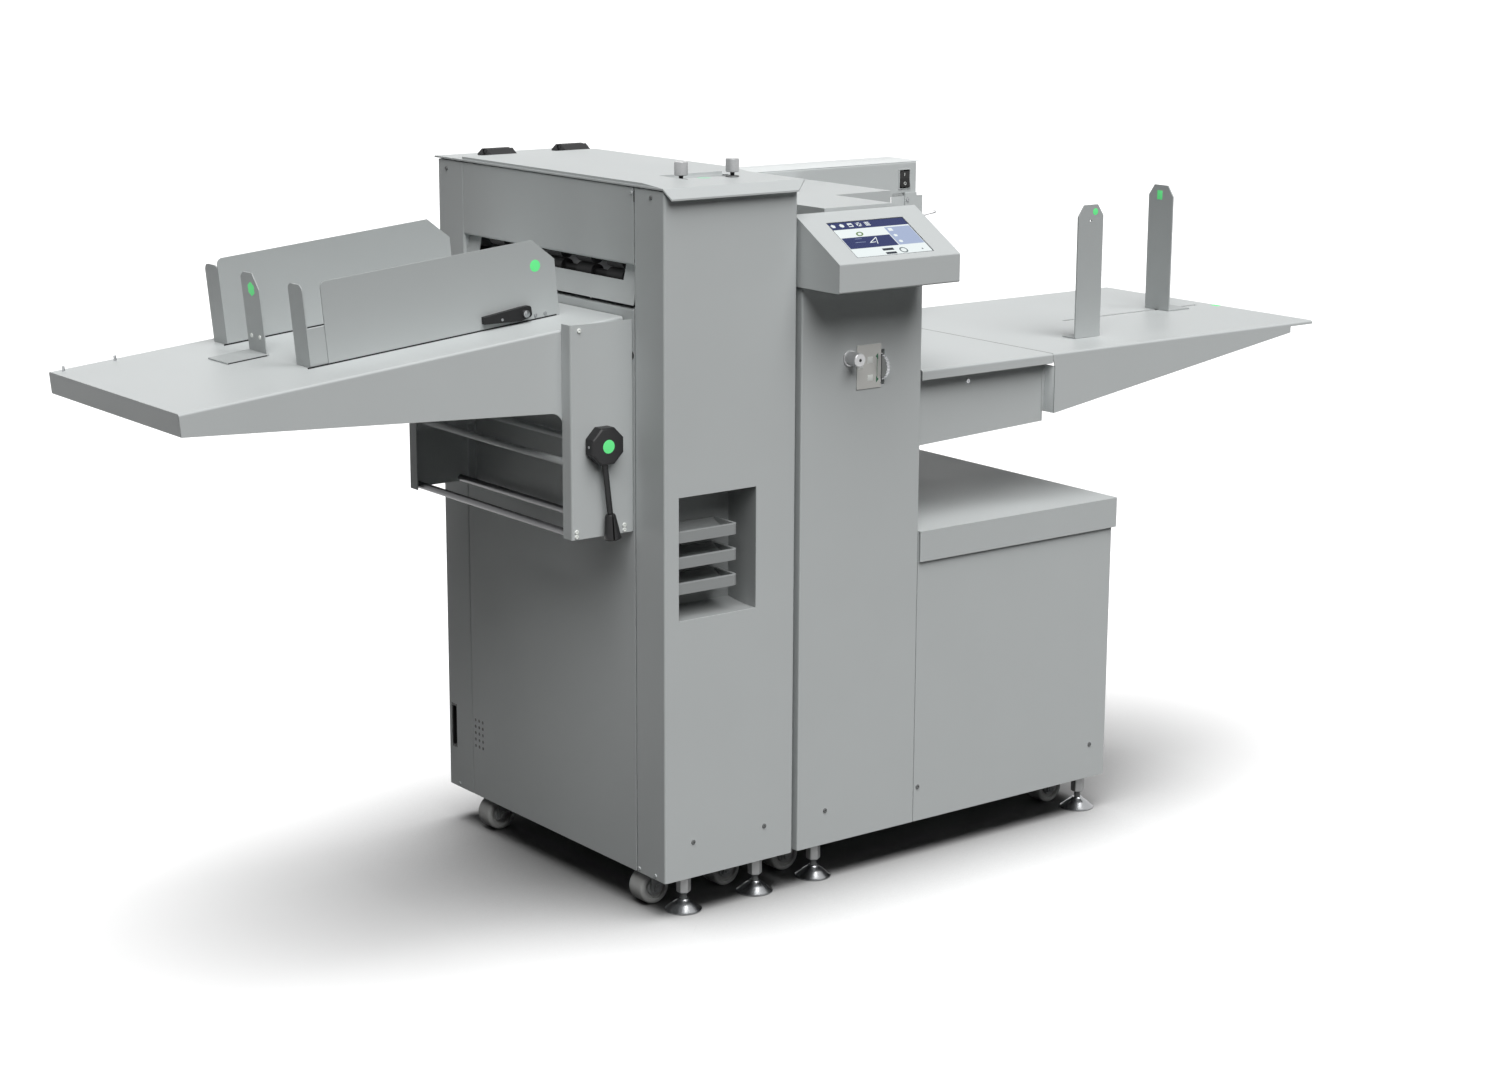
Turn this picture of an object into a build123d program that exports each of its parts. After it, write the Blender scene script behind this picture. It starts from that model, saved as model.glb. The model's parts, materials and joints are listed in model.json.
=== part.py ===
"""Floor-standing paper creaser with a pile feeder and a delivery table.

Millimetres, +Z up. X runs along the paper path, from the delivery table (-X) to the
feed table (+X). Y runs from the operator's side to the back. While it is modelled, X = 0
is the delivery face of the creaser tower, Y = 0 is the front face of both cabinets and
Z = 0 is the floor. The finished pieces are moved so that the origin is the centre of the
machine's footprint, on the floor.
"""
from build123d import *
import math
import os

# ---- driving dimensions: material and clearances -----------------------------------

SHEET = 2.0                     # folded cabinet sheet
BEND = 3.0                      # bend radius, to the middle of the sheet
RETURN = 14.0                   # width of a folded edge
PLATE = 8.0                     # machined side frames
PAN = 4.0                       # base pans
SEAM = 1.0                      # joint between two neighbouring panels
GAP = 0.5                       # clearance between pieces that move past each other
RUNNING = 0.05                  # radial clearance of a shaft in its bearing
FLOOR_GAP = 67.0                # floor to the lower edge of the cabinets
PAN_BASE = 88.0                 # floor to the underside of the base pans
PAPER_DROP = 145.0              # top of the tower down to the paper path
CREASE_WIDTH = 452.0            # clear width of the paper path

# ---- driving dimensions: creaser tower ---------------------------------------------

TOWER_WIDTH = 275.0
TOWER_DEPTH = 700.0
TOWER_HEIGHT = 1180.0
COLUMN_DEPTH = 85.0             # front and rear corner columns
FRAME_SETBACK = 92.0            # front face to the first side frame
FRAME_INSET = 18.0              # side skin to the edge of a side frame
FRAME_POST = 40.0               # width of a side frame beside its window
FRAME_SILL = 158.0              # base pan to the windows of the side frames
FRAME_HEAD = 272.0              # motor's axis down to the top of those windows
TIE_RISE = 108.0                # base pan to the lowest ties
TIE_DROP = 212.0                # motor's axis down to the middle ties
COVER_OVERHANG = 2.0
COVER_REACH = 14.0              # how far the lid covers the gap to the feeder
COVER_THICK = 3.0
COVER_LIFT = 2.0                # shadow gap under the lid
COVER_FLANGE = 14.0
LIP_DROP = 16.0
LIP_FORWARD = 14.0
LIP_TAPER = 30.0                # how much shorter the lip's lower edge is
DISH_LENGTH = 160.0             # pressed finger recess of the lid
DISH_WIDTH = 32.0
DISH_DEPTH = 7.0
DISH_BEHIND_KNOBS = 40.0
HINGE_SETBACK = 52.0            # rear face to the lid's hinge axis
HINGE_RISE = 8.0
HINGE_LENGTH = 54.0
HINGE_PIN = 2.5
HINGE_KNUCKLES = 5
HINGE_LEFT = 94.0               # tower's left side to the first hinge
HINGE_RIGHT = 21.0              # second hinge to the tower's right side
KNOB_LEFT = 103.0
KNOB_RIGHT = 65.5
KNOB_SETBACK = 95.0
KNOB_DIAMETER = 23.0
KNOB_HEIGHT = 24.0
KNOB_STEM = 9.0
KNOB_STEM_HEIGHT = 9.0
EXIT_BELOW = 14.0               # delivery slot, below and above the paper path
EXIT_ABOVE = 15.0
CHUTE_HEIGHT = 65.0
CHUTE_TILT = 14.0
SKIN_GAP = 6.0                  # shadow gap under the chute
VENT_COLUMNS = 3
VENT_ROWS = 5
VENT_PITCH = 12.5
VENT_RADIUS = 2.6
INLET_WIDTH = 20.0              # recessed mains inlet at the foot of the rear column
INLET_HEIGHT = 85.0
INLET_RISE = 75.0
NICHE_X = 29.0
NICHE_DROP = 722.0              # top of the tower down to the niche's floor
NICHE_WIDTH = 162.0
NICHE_HEIGHT = 212.0
NICHE_DEPTH = 80.0
NICHE_WALL = 1.5
NICHE_RAMP = 6.0                # rise of the scooped floor
SHELF_SETBACK = 6.0
SHELF_PITCH = 44.3
SHELF_LIP = 18.0
SHELF_COUNT = 3
SHELF_GAP = 31.0                # from the shelves' rounded ends to the niche's right wall

# ---- driving dimensions: creasing unit and rollers ---------------------------------

ROLLER_X = 30.0
ROLLER_RADIUS = 13.0
ROLLER_TYRES = 5
SHAFT_RADIUS = 6.0
NIP = 0.3
CREASE_X = 130.0
CREASE_LIFT = 5.0
CREASE_BEAM = 56.0              # height of the blade beam
ANVIL_CLEARANCE = 0.5
ECCENTRIC_RADIUS = 14.0
ECCENTRIC_THICK = 16.0
ECCENTRIC_INSET = 60.0
YOKE_WALL = 8.0
YOKE_SLACK = 0.9
MOTOR_SIZE = 90.0
MOTOR_DROP = 190.0              # paper path down to the motor's axis

# ---- driving dimensions: feeder ----------------------------------------------------

FEEDER_GAP = 11.5               # between the tower and the feeder cabinet
COLUMN_LENGTH = 268.5           # the feeder's tall column, along X
FEEDER_LENGTH = 751.0           # column and low cabinet together
FEEDER_DEPTH = 578.0
FEEDER_DROP = 34.0              # paper path down to the top of the column
DOWEL_RADIUS = 12.0
CABINET_DROP = 345.0            # feed table down to the lower edge of the low cabinet's lid
LID_HEIGHT = 56.0
LID_OVERHANG = 6.0
CONSOLE_SHIFT = 5.0             # the console starts this much left of the column
CONSOLE_LENGTH = 265.0
CONSOLE_OVERHANG = 105.0
CONSOLE_BACK = 17.0
CONSOLE_LIP = 49.0
CONSOLE_RISE = 121.0
SCREEN_WIDTH = 168.0
SCREEN_HEIGHT = 98.0
SCREEN_X = 48.0                 # console's left end to the screen
SCREEN_UP = 14.0                # console's lip to the screen, along the slope
SCREEN_SINK = 0.8
HEAD_RISE = 44.0                # top of the column to the head's covers
HEAD_HEIGHT = 83.0
HEAD_INSET = 4.0                # the head starts this much right of the column's left face
HEAD_LENGTH = 336.5
HEAD_STEP = 176.0
NECK_INSET = 60.5               # column's left face to the head's neck
NECK_LENGTH = 151.0
NECK_FOOT = 62.0
BEAM_RISE = 77.0                # top of the column to the beam
BEAM_HEIGHT = 65.0
BEAM_BACK = 28.0                # beam to the feeder's rear face
BEAM_WIDTH = 100.0
BEAM_REACH = 295.0              # head's right end to the beam's end
END_BRACKET = 44.0              # plate hung from the beam's end
END_BRACKET_INSET = 29.0
END_BRACKET_DROP = 55.0
SWITCH_SETBACK = 29.5           # beam's end to the middle of the switch
SWITCH_RISE = 33.0
SWITCH_WIDTH = 24.0
SWITCH_HEIGHT = 30.0
BELT_COUNT = 4
BELT_INSET = 45.0               # head's step to the first belt
BELT_MARGIN = 38.0              # last belt to the beam
BELT_WIDTH = 26.0
BELT_LOOP = 54.0
PLATE_INSET = 120.5             # column's left face to the adjuster's bright plate
PLATE_WIDTH = 54.0
ADJUSTER_DROP = 131.0           # top of the column down to the adjuster's knob
SKEW_SETBACK = 16.0             # knob's axis, left of the plate
SKEW_RADIUS = 10.5
WHEEL_RADIUS = 24.0
WHEEL_PROUD = 17.0              # how far the thumbwheel stands out of its slot
WHEEL_TEETH = 24
WHEEL_DROP = 22.0
PUMP_SETBACK = 210.0            # column to the blower's axis
PUMP_FRONT = 90.0               # its front face, before the middle of the feeder's depth
PUMP_RISE = 150.0
PUMP_RADIUS = 110.0
PUMP_WIDTH = 70.0
PUMP_MOTOR_RADIUS = 74.0
PUMP_MOTOR_LENGTH = 130.0
PUMP_FOOT = 160.0               # its foot, along X
PUMP_OUTLET_RADIUS = 24.0
PUMP_OUTLET_RISE = 60.0

# ---- driving dimensions: feed table ------------------------------------------------

TABLE_DROP = 169.0              # top of the column down to the table
TABLE_LIP = 18.0
TABLE_GAP = 3.0                 # column to the table
TABLE_FIXED = 314.0             # length of the fixed part
SKIRT_LENGTH = 636.0            # joint to the end of the extension's skirts
NOSE_LENGTH = 62.0
SKIRT_DEEP = 111.0              # depth of the extension's skirt at the joint
SKIRT_SHALLOW = 19.0
NOSE_HEIGHT = 7.0
BRACKET_SETBACK = 25.0
BRACKET_DEEP = 141.0            # depth of the cantilever brackets at the column
BRACKET_SHALLOW = 128.0
LIFT_SETBACK = 60.0             # guide rods and screw, from the column's right face
LIFT_SPREAD = 266.0             # between the two guide rods
LIFT_ROD = 10.0
LIFT_SCREW = 9.0
LIFT_COLLAR = 26.0              # radius of the screw's drive wheel
LIFT_CARRIAGE = 20.0            # half width of the carriage blocks
ARM = 12.0                      # thickness of the table's arms
LIFT_DOWN = 130.0
LIFT_UP = 180.0
PILE_GUIDE_HEIGHT = 250.0
PILE_GUIDE_CORNER = 15.0
PILE_GUIDE_THICK = 3.0
SIDE_GUIDE_OUT = 150.0          # table's joint to the side guide
SIDE_GUIDE_WIDTH = 64.0
SIDE_GUIDE_Y = 100.0
SIDE_GUIDE_FOOT = 34.0
BACKSTOP_SETBACK = 86.0         # skirts' end to the backstop
BACKSTOP_WIDTH = 66.0
BACKSTOP_Y = 281.0
BACKSTOP_FOOT = 60.0
BACKSTOP_TONGUE = 35.0
BACKSTOP_SLOT = 10.0            # width of the table's slot
BACKSTOP_IN = 260.0
BACKSTOP_OUT = 60.0

# ---- driving dimensions: delivery --------------------------------------------------

BRACKET_WIDTH = 125.0           # side brackets, along X
BRACKET_HEIGHT = 359.0
BRACKET_Y = 88.0                # outer face of the near bracket
ROD_RADIUS = 6.0
ROD_INSET = 13.0                # bracket's outer edge to the outer cross rods
TRAY_SLOPE = 5.51               # degrees, down towards the outer end
TRAY_DROP = 72.0                # paper path down to the tray, where it meets the tower
TRAY_LENGTH = 814.0
TRAY_CLEARANCE = 27.0           # bracket's outer face to the tray's side
TRAY_LIP = 36.0
TRAY_TAPER = 0.149              # how fast the skirt deepens towards the tower
ARM_HEIGHT = 252.0
ARM_CORNER = 24.0
TRAY_UP = 6.0
TRAY_DOWN = 60.0
GUIDE_HEIGHT = 133.0
GUIDE_INNER = 58.0
GUIDE_OUTER = 498.0
NEAR_GUIDE_INSET = 106.0        # tray's side to its guide
FAR_GUIDE_INSET = 77.0
FAR_GUIDE_INNER = 85.0
FAR_GUIDE_RISE = 12.0           # how much taller the far guide is
FLAG_OUT = 30.0                 # guide's outer end to its flag
FLAG_WIDTH = 46.0
FLAG_BAND = 62.0
STOP_REACH = 526.0
STOP_OFFSET = 54.0              # tray's middle to the end stop
STOP_WIDTH = 58.0
STOP_HEIGHT = 133.0
STOP_BASE = 76.0
LATCH_REACH = 130.0             # tower to the latch's pivot
LATCH_LENGTH = 80.0
LATCH_PIN = 3.0
LATCH_Z = 16.0                  # tray to the latch's pivot
LEVER_X = -67.0
LEVER_DROP = 205.0              # tray down to the lever's axis
LEVER_HUB = 62.0
LEVER_DEPTH = 24.0
LEVER_STEM = 5.0
LEVER_ROD = 5.0
LEVER_GRIP = 15.0               # radius of the grip's wide end

# ---- driving dimensions: feet and casters ------------------------------------------

FOOT_RADIUS = 32.0
FOOT_SETBACK = 30.0
FOOT_INSET = 60.0               # cabinet's end to its feet and casters
FOOT_INSET_FAR = 40.0           # the feeder's far end
FOOT_STEM = 6.0
FOOT_SLEEVE = 13.0
CASTER_RADIUS = 30.0
CASTER_WIDTH = 40.0
CASTER_EDGE = 4.0               # chamfer of the tread
CASTER_TRAIL = 16.0
CASTER_SHIFT = 8.0              # casters' swivel axes, left of the feet
CASTER_FRONT = 100.0
CASTER_REAR = 106.0             # rear face to the rear casters
CHEEK = 3.0                     # sides of a caster's fork
AXLE = 5.0
KINGPIN = 7.0

# ---- derived places ----------------------------------------------------------------

PAN_TOP = PAN_BASE + PAN
TOWER_TOP = FLOOR_GAP + TOWER_HEIGHT
PAPER_LINE = TOWER_TOP - PAPER_DROP
PANEL_TOP = TOWER_TOP - COVER_LIFT
FRAME_TOP = TOWER_TOP - 22
FRAME_Y = (FRAME_SETBACK, TOWER_DEPTH - FRAME_SETBACK - PLATE)
INSIDE_Y = (FRAME_Y[0] + PLATE, FRAME_Y[1])
SHAFT_Y = (FRAME_Y[0] - 6, FRAME_Y[1] + PLATE + 6)
SKIN_Y = (COLUMN_DEPTH + SEAM, TOWER_DEPTH - COLUMN_DEPTH - SEAM)
SLOT_Y = (TOWER_DEPTH / 2 - CREASE_WIDTH / 2, TOWER_DEPTH / 2 + CREASE_WIDTH / 2)
SLOT_Z = (PAPER_LINE - EXIT_BELOW, PAPER_LINE + EXIT_ABOVE)
CHUTE_TOP = SLOT_Z[1] - SEAM
CHUTE_LOW = CHUTE_TOP - CHUTE_HEIGHT
COVER_X = (-COVER_OVERHANG, TOWER_WIDTH + COVER_REACH)
KNOB_X = (KNOB_LEFT, TOWER_WIDTH - KNOB_RIGHT)
HINGE_X = (HINGE_LEFT, TOWER_WIDTH - HINGE_RIGHT)
HINGE_Y = TOWER_DEPTH - HINGE_SETBACK
HINGE_Z = TOWER_TOP + COVER_THICK + HINGE_RISE
NICHE_Z = TOWER_TOP - NICHE_DROP
ROLLER_Z = (PAPER_LINE - ROLLER_RADIUS, PAPER_LINE + ROLLER_RADIUS + NIP)
BLADE_Z = PAPER_LINE + CREASE_LIFT
ECCENTRIC_THROW = CREASE_LIFT / 2
YOKE_HEIGHT = 2 * (ECCENTRIC_RADIUS + YOKE_SLACK + YOKE_WALL)
SHAFT_Z = BLADE_Z + CREASE_BEAM + YOKE_HEIGHT / 2 - ECCENTRIC_THROW
ECCENTRIC_Y = (FRAME_Y[0] + ECCENTRIC_INSET, FRAME_Y[1] + PLATE - ECCENTRIC_INSET)
MOTOR_X = CREASE_X + 48
MOTOR_Z = PAPER_LINE - MOTOR_DROP
FRAME_WINDOW_X = (FRAME_INSET + FRAME_POST, TOWER_WIDTH - FRAME_INSET - FRAME_POST)
FRAME_WINDOW_Z = (PAN_TOP + FRAME_SILL, MOTOR_Z - FRAME_HEAD)
TIE_Z = (PAN_TOP + TIE_RISE, MOTOR_Z - TIE_DROP, FRAME_TOP - FRAME_INSET)
FEEDER_X = TOWER_WIDTH + FEEDER_GAP
COLUMN_END = FEEDER_X + COLUMN_LENGTH
FEEDER_END = FEEDER_X + FEEDER_LENGTH
FEEDER_TOP = PAPER_LINE - FEEDER_DROP
TABLE_TOP = FEEDER_TOP - TABLE_DROP
CABINET_TOP = TABLE_TOP - CABINET_DROP
CONSOLE_X = FEEDER_X - CONSOLE_SHIFT
CONSOLE_ANGLE = math.degrees(math.atan2(CONSOLE_RISE - CONSOLE_LIP, CONSOLE_OVERHANG + CONSOLE_BACK))
HEAD_X = (FEEDER_X + HEAD_INSET, FEEDER_X + HEAD_INSET + HEAD_LENGTH)
HEAD_BASE = FEEDER_TOP + HEAD_RISE
HEAD_TOP = HEAD_BASE + HEAD_HEIGHT
NECK_X = FEEDER_X + NECK_INSET
NECK_Y = CONSOLE_BACK + SEAM
BEAM_FRONT = FEEDER_DEPTH - BEAM_BACK - BEAM_WIDTH
BEAM_Y = (BEAM_FRONT, BEAM_FRONT + BEAM_WIDTH)
BEAM_BASE = FEEDER_TOP + BEAM_RISE
BEAM_TOP = BEAM_BASE + BEAM_HEIGHT
BEAM_END = HEAD_X[1] + BEAM_REACH
BELT_LOW = HEAD_STEP + BELT_INSET
BELT_PITCH = (BEAM_FRONT - BELT_MARGIN - BELT_WIDTH - BELT_LOW) / (BELT_COUNT - 1)
SWITCH_X = BEAM_END - SWITCH_SETBACK
SWITCH_Z = BEAM_BASE + SWITCH_RISE
ROCKER_Y = BEAM_FRONT + 5
PLATE_X = FEEDER_X + PLATE_INSET
SKEW_X = PLATE_X - SKEW_SETBACK
ADJUSTER_Z = FEEDER_TOP - ADJUSTER_DROP
WHEEL_X = PLATE_X + PLATE_WIDTH + 4
WHEEL_Y = WHEEL_RADIUS - WHEEL_PROUD
WHEEL_Z = ADJUSTER_Z - WHEEL_DROP
TABLE_X = COLUMN_END + TABLE_GAP
TABLE_SEAM = TABLE_X + TABLE_FIXED
SKIRT_END = TABLE_SEAM + SKIRT_LENGTH
TABLE_END = SKIRT_END + NOSE_LENGTH
SIDE_GUIDE_X = TABLE_SEAM + SIDE_GUIDE_OUT
BACKSTOP_X = SKIRT_END - BACKSTOP_SETBACK
TONGUE_X = (BACKSTOP_X + BACKSTOP_SLOT, BACKSTOP_X + BACKSTOP_SLOT + BACKSTOP_TONGUE)
LIFT_X = COLUMN_END - LIFT_SETBACK
LIFT_Y = (FEEDER_DEPTH / 2 - LIFT_SPREAD / 2, FEEDER_DEPTH / 2 + LIFT_SPREAD / 2)
ARM_Z = (TABLE_TOP - BRACKET_DEEP + 10, TABLE_TOP - TABLE_LIP - 2)
TRAY_LEVEL = PAPER_LINE - TRAY_DROP
TRAY_Y = (BRACKET_Y + TRAY_CLEARANCE, TOWER_DEPTH - BRACKET_Y - TRAY_CLEARANCE)
NEAR_GUIDE_Y = TRAY_Y[0] + NEAR_GUIDE_INSET
FAR_GUIDE_Y = TRAY_Y[1] - FAR_GUIDE_INSET
FLAG_REACH = GUIDE_OUTER + FLAG_OUT
STOP_Y = TOWER_DEPTH / 2 + STOP_OFFSET
ARM_LOW = TRAY_LEVEL - ARM_HEIGHT
LEVER_Z = TRAY_LEVEL - LEVER_DROP
BRACKET_TOP = TRAY_LEVEL - SHEET
BRACKET_LOW = BRACKET_TOP - BRACKET_HEIGHT
ROD_LOW = BRACKET_LOW + ROD_RADIUS
OUTER_ROD_X = -BRACKET_WIDTH + ROD_INSET
INNER_ROD_X = -ROD_INSET - ROD_RADIUS
TRAY_ARM_X = (-BRACKET_WIDTH + SHEET + GAP, -SHEET - GAP)
FEEDER_FEET = (FEEDER_X + FOOT_INSET, FEEDER_END - FOOT_INSET_FAR)
TOWER_FEET = (FOOT_INSET, TOWER_WIDTH - FOOT_INSET)
TOWER_CASTERS = [(x - CASTER_SHIFT, y) for y in (CASTER_FRONT, TOWER_DEPTH - CASTER_REAR) for x in TOWER_FEET]
FEEDER_CASTERS = [(x - CASTER_SHIFT, y) for y in (CASTER_FRONT, FEEDER_DEPTH - CASTER_REAR) for x in FEEDER_FEET]
FEET = [(x, FOOT_SETBACK) for x in TOWER_FEET + FEEDER_FEET]

# ---- drawing planes and small helpers ----------------------------------------------

TOP = Plane.XY                  # outlines in X and Y
FRONT = Plane.XZ                # outlines in X and Z
SIDE = Plane.YZ                 # outlines in Y and Z


def push(face, plane, span):
    """Extrude a face drawn on a plane over a span of the axis that crosses the plane."""
    start = -span[1] if plane is FRONT else span[0]
    return extrude(plane.offset(start) * face, span[1] - span[0])


def prism(points, plane, span):
    """Solid with a straight-sided outline."""
    return push(make_face(Polyline(*points, close=True)), plane, span)


def folded(points, plane, span):
    """Bent sheet: the points lie on its middle, and its bends are rounded."""
    return push(trace(FilletPolyline(*points, radius=BEND), SHEET), plane, span)


def block(x, y, z):
    """Box that spans the (low, high) pairs x, y and z."""
    middle = [(low + high) / 2 for low, high in (x, y, z)]
    size = [high - low for low, high in (x, y, z)]
    return Pos(*middle) * Box(*size)


def hollow(solid, opening):
    """Sheet-metal box: the solid's walls, without the face that lies furthest that way."""
    return offset(solid, amount=-SHEET, openings=[solid.faces().sort_by(opening)[-1]])


def bar(start, end, radius):
    """Round bar from start to end."""
    axis = Vector(*end) - Vector(*start)
    return Part() + Solid.make_cylinder(radius, axis.length, Plane(origin=start, z_dir=axis))


def bar_x(x, y, z, radius):
    """Round bar along X over the span x."""
    return bar((x[0], y, z), (x[1], y, z), radius)


def bar_y(x, y, z, radius):
    """Round bar along Y over the span y."""
    return bar((x, y[0], z), (x, y[1], z), radius)


def bar_z(x, y, z, radius):
    """Round bar along Z over the span z."""
    return bar((x, y, z[0]), (x, y, z[1]), radius)


def mirrored_y(shape, depth):
    """The shape and its mirror image about the middle of the depth."""
    return shape + mirror(shape, Plane.XZ.offset(-depth / 2))


def on_tray(shape):
    """Put a shape made on a level tray (surface at Z = 0) on the sloping one."""
    return Pos(0, 0, TRAY_LEVEL) * Rot(0, -TRAY_SLOPE, 0) * shape


def tray_height(x):
    """Height of the tray's surface at x."""
    return TRAY_LEVEL + x * math.tan(math.radians(TRAY_SLOPE))


# ---- creaser tower -----------------------------------------------------------------

def base_pan(x, y, holes):
    """Base pan with rounded corners and the holes of its feet and casters."""
    pan = block(x, y, (PAN_BASE, PAN_TOP))
    pan = fillet(pan.edges().filter_by(Axis.Z), BEND + SHEET)
    for hole_x, hole_y, radius in holes:
        pan -= bar_z(hole_x, hole_y, (PAN_BASE - 1, PAN_TOP + 1), radius + RUNNING)
    return pan


def tower_frame():
    """Two thick side frames on a base pan, their ties, and the fixed creasing anvil."""
    holes = [(x, FOOT_SETBACK, FOOT_STEM) for x in TOWER_FEET]
    holes += [(x, y, KINGPIN) for x, y in TOWER_CASTERS]
    frame = base_pan((SHEET, TOWER_WIDTH - SHEET), (SHEET, TOWER_DEPTH - SHEET), holes)
    outline = [(FRAME_INSET, PAN_TOP), (TOWER_WIDTH - FRAME_INSET, PAN_TOP),
               (TOWER_WIDTH - FRAME_INSET, FRAME_TOP), (FRAME_INSET, FRAME_TOP)]
    for y in FRAME_Y:
        plate = prism(outline, FRONT, (y, y + PLATE))
        plate -= block(FRAME_WINDOW_X, (y - 1, y + PLATE + 1), FRAME_WINDOW_Z)
        for x, z in [(ROLLER_X, z) for z in ROLLER_Z] + [(CREASE_X, SHAFT_Z)]:
            plate -= bar_y(x, (y - 1, y + PLATE + 1), z, SHAFT_RADIUS + RUNNING)
        frame += plate
    for x in (FRAME_INSET + 22, TOWER_WIDTH - FRAME_INSET - 22):
        for z in TIE_Z:
            frame += bar_y(x, INSIDE_Y, z, 9)
    anvil_z = PAPER_LINE - ANVIL_CLEARANCE
    outline = [(-20, -34), (20, -34), (20, 0), (2.2, 0), (0, -2.2), (-2.2, 0), (-20, 0)]
    return frame + prism([(CREASE_X + x, anvil_z + z) for x, z in outline], FRONT, INSIDE_Y)


def column_channel(face, edge):
    """Corner column: one sheet folded round three sides, with returns at the open side."""
    step = 1 if edge > face else -1
    half = SHEET / 2
    near, far = face + step * half, edge - step * half
    channel = folded([(RETURN, far), (half, far), (half, near), (TOWER_WIDTH - half, near),
                      (TOWER_WIDTH - half, far), (TOWER_WIDTH - RETURN, far)], TOP, (FLOOR_GAP, PANEL_TOP))
    notch = sorted((edge + step, edge - step * (SHEET + BEND)))
    return channel - block((SHEET, TOWER_WIDTH - SHEET), notch, (FLOOR_GAP - 1, PAN_TOP))


def tower_front_panel():
    """Front column with the opening of the tool niche."""
    opening = block((NICHE_X, NICHE_X + NICHE_WIDTH), (-1, SHEET + 1), (NICHE_Z, NICHE_Z + NICHE_HEIGHT))
    return column_channel(0, COLUMN_DEPTH) - opening


def tower_rear_panel():
    """Rear column with the mains inlet's pocket and the fixed strip behind the lid."""
    panel = column_channel(TOWER_DEPTH, TOWER_DEPTH - COLUMN_DEPTH)
    strip = block(COVER_X, (HINGE_Y + SEAM, TOWER_DEPTH + 8), (TOWER_TOP, TOWER_TOP + COVER_THICK))
    half, low = SHEET / 2, PANEL_TOP - RETURN
    strip += folded([(20, low), (20, TOWER_TOP + half), (TOWER_WIDTH - 20, TOWER_TOP + half), (TOWER_WIDTH - 20, low)],
                    FRONT, (TOWER_DEPTH - 40, TOWER_DEPTH - half))
    y = (TOWER_DEPTH - 29, TOWER_DEPTH - 29 + INLET_WIDTH)
    z = (FLOOR_GAP + INLET_RISE, FLOOR_GAP + INLET_RISE + INLET_HEIGHT)
    pocket = block((0, 26), (y[0] - SHEET, y[1] + SHEET), (z[0] - SHEET, z[1] + SHEET))
    return panel + strip + pocket - block((-1, 24), y, z)


def tower_side_panels():
    """Skins between the columns: upper, chute and lower on the delivery side; feed side."""
    half = SHEET / 2
    upper = folded([(half, PANEL_TOP), (half, SLOT_Z[1] + half), (RETURN, SLOT_Z[1] + half)], FRONT, SKIN_Y)
    chute = prism([(-SHEET, CHUTE_LOW), (CHUTE_TILT - SHEET, CHUTE_TOP), (CHUTE_TILT, CHUTE_TOP), (0, CHUTE_LOW)],
                  FRONT, SKIN_Y)
    for y in FRAME_Y:
        upper += block((SHEET, FRAME_INSET), (y, y + PLATE), (PANEL_TOP - 90, PANEL_TOP - 60))
        chute += prism([(3, CHUTE_LOW + 16), (8, CHUTE_LOW + 40), (FRAME_INSET, CHUTE_LOW + 40),
                        (FRAME_INSET, CHUTE_LOW + 16)], FRONT, (y, y + PLATE))
    chute -= block((-20, FRAME_INSET + 1), SLOT_Y, SLOT_Z)
    low_top = CHUTE_LOW - SKIN_GAP
    lower = folded([(half, FLOOR_GAP), (half, low_top - half), (RETURN, low_top - half)], FRONT, SKIN_Y)
    for column in range(VENT_COLUMNS):
        for row in range(VENT_ROWS):
            lower -= bar_x((-1, SHEET + 1), SKIN_Y[1] - 9 - VENT_PITCH * column,
                           FLOOR_GAP + 96 + VENT_PITCH * row, VENT_RADIUS)
    feed = block((TOWER_WIDTH - SHEET, TOWER_WIDTH), SKIN_Y, (FLOOR_GAP, PANEL_TOP))
    feed -= block((TOWER_WIDTH - SHEET - 1, TOWER_WIDTH + 1), SLOT_Y, SLOT_Z)
    return upper + chute + lower + feed


def tool_niche():
    """Moulded insert behind the front panel, with scooped and lipped shelves."""
    x = (NICHE_X, NICHE_X + NICHE_WIDTH)
    z = (NICHE_Z, NICHE_Z + NICHE_HEIGHT)
    back = NICHE_DEPTH - NICHE_WALL
    niche = block((x[0] - NICHE_WALL, x[1] + NICHE_WALL), (SHEET, NICHE_DEPTH), (z[0] - NICHE_WALL, z[1] + NICHE_WALL))
    niche -= block(x, (0, back), z)
    for index in range(SHELF_COUNT):
        low = z[0] + SHELF_PITCH * (index + 1)
        shelf = block((x[0], x[1] - SHELF_GAP), (SHELF_SETBACK, back), (low, low + SHELF_LIP))
        corner = shelf.edges().filter_by(Axis.Z).group_by(Axis.Y)[0].sort_by(Axis.X)[-1]
        shelf = fillet(corner, 14)
        scoop = bar_x((x[0] + 4, x[1] - SHELF_GAP - 6), SHELF_SETBACK + 38, low + SHELF_LIP + 36, 46)
        niche += shelf - scoop
    foot = 14
    radius = ((back - foot) ** 2 + NICHE_RAMP ** 2) / (2 * NICHE_RAMP)
    ramp = block(x, (foot, back), (z[0], z[0] + NICHE_RAMP))
    return niche + (ramp - bar_x((x[0] - 1, x[1] + 1), foot, z[0] + radius, radius))


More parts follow.
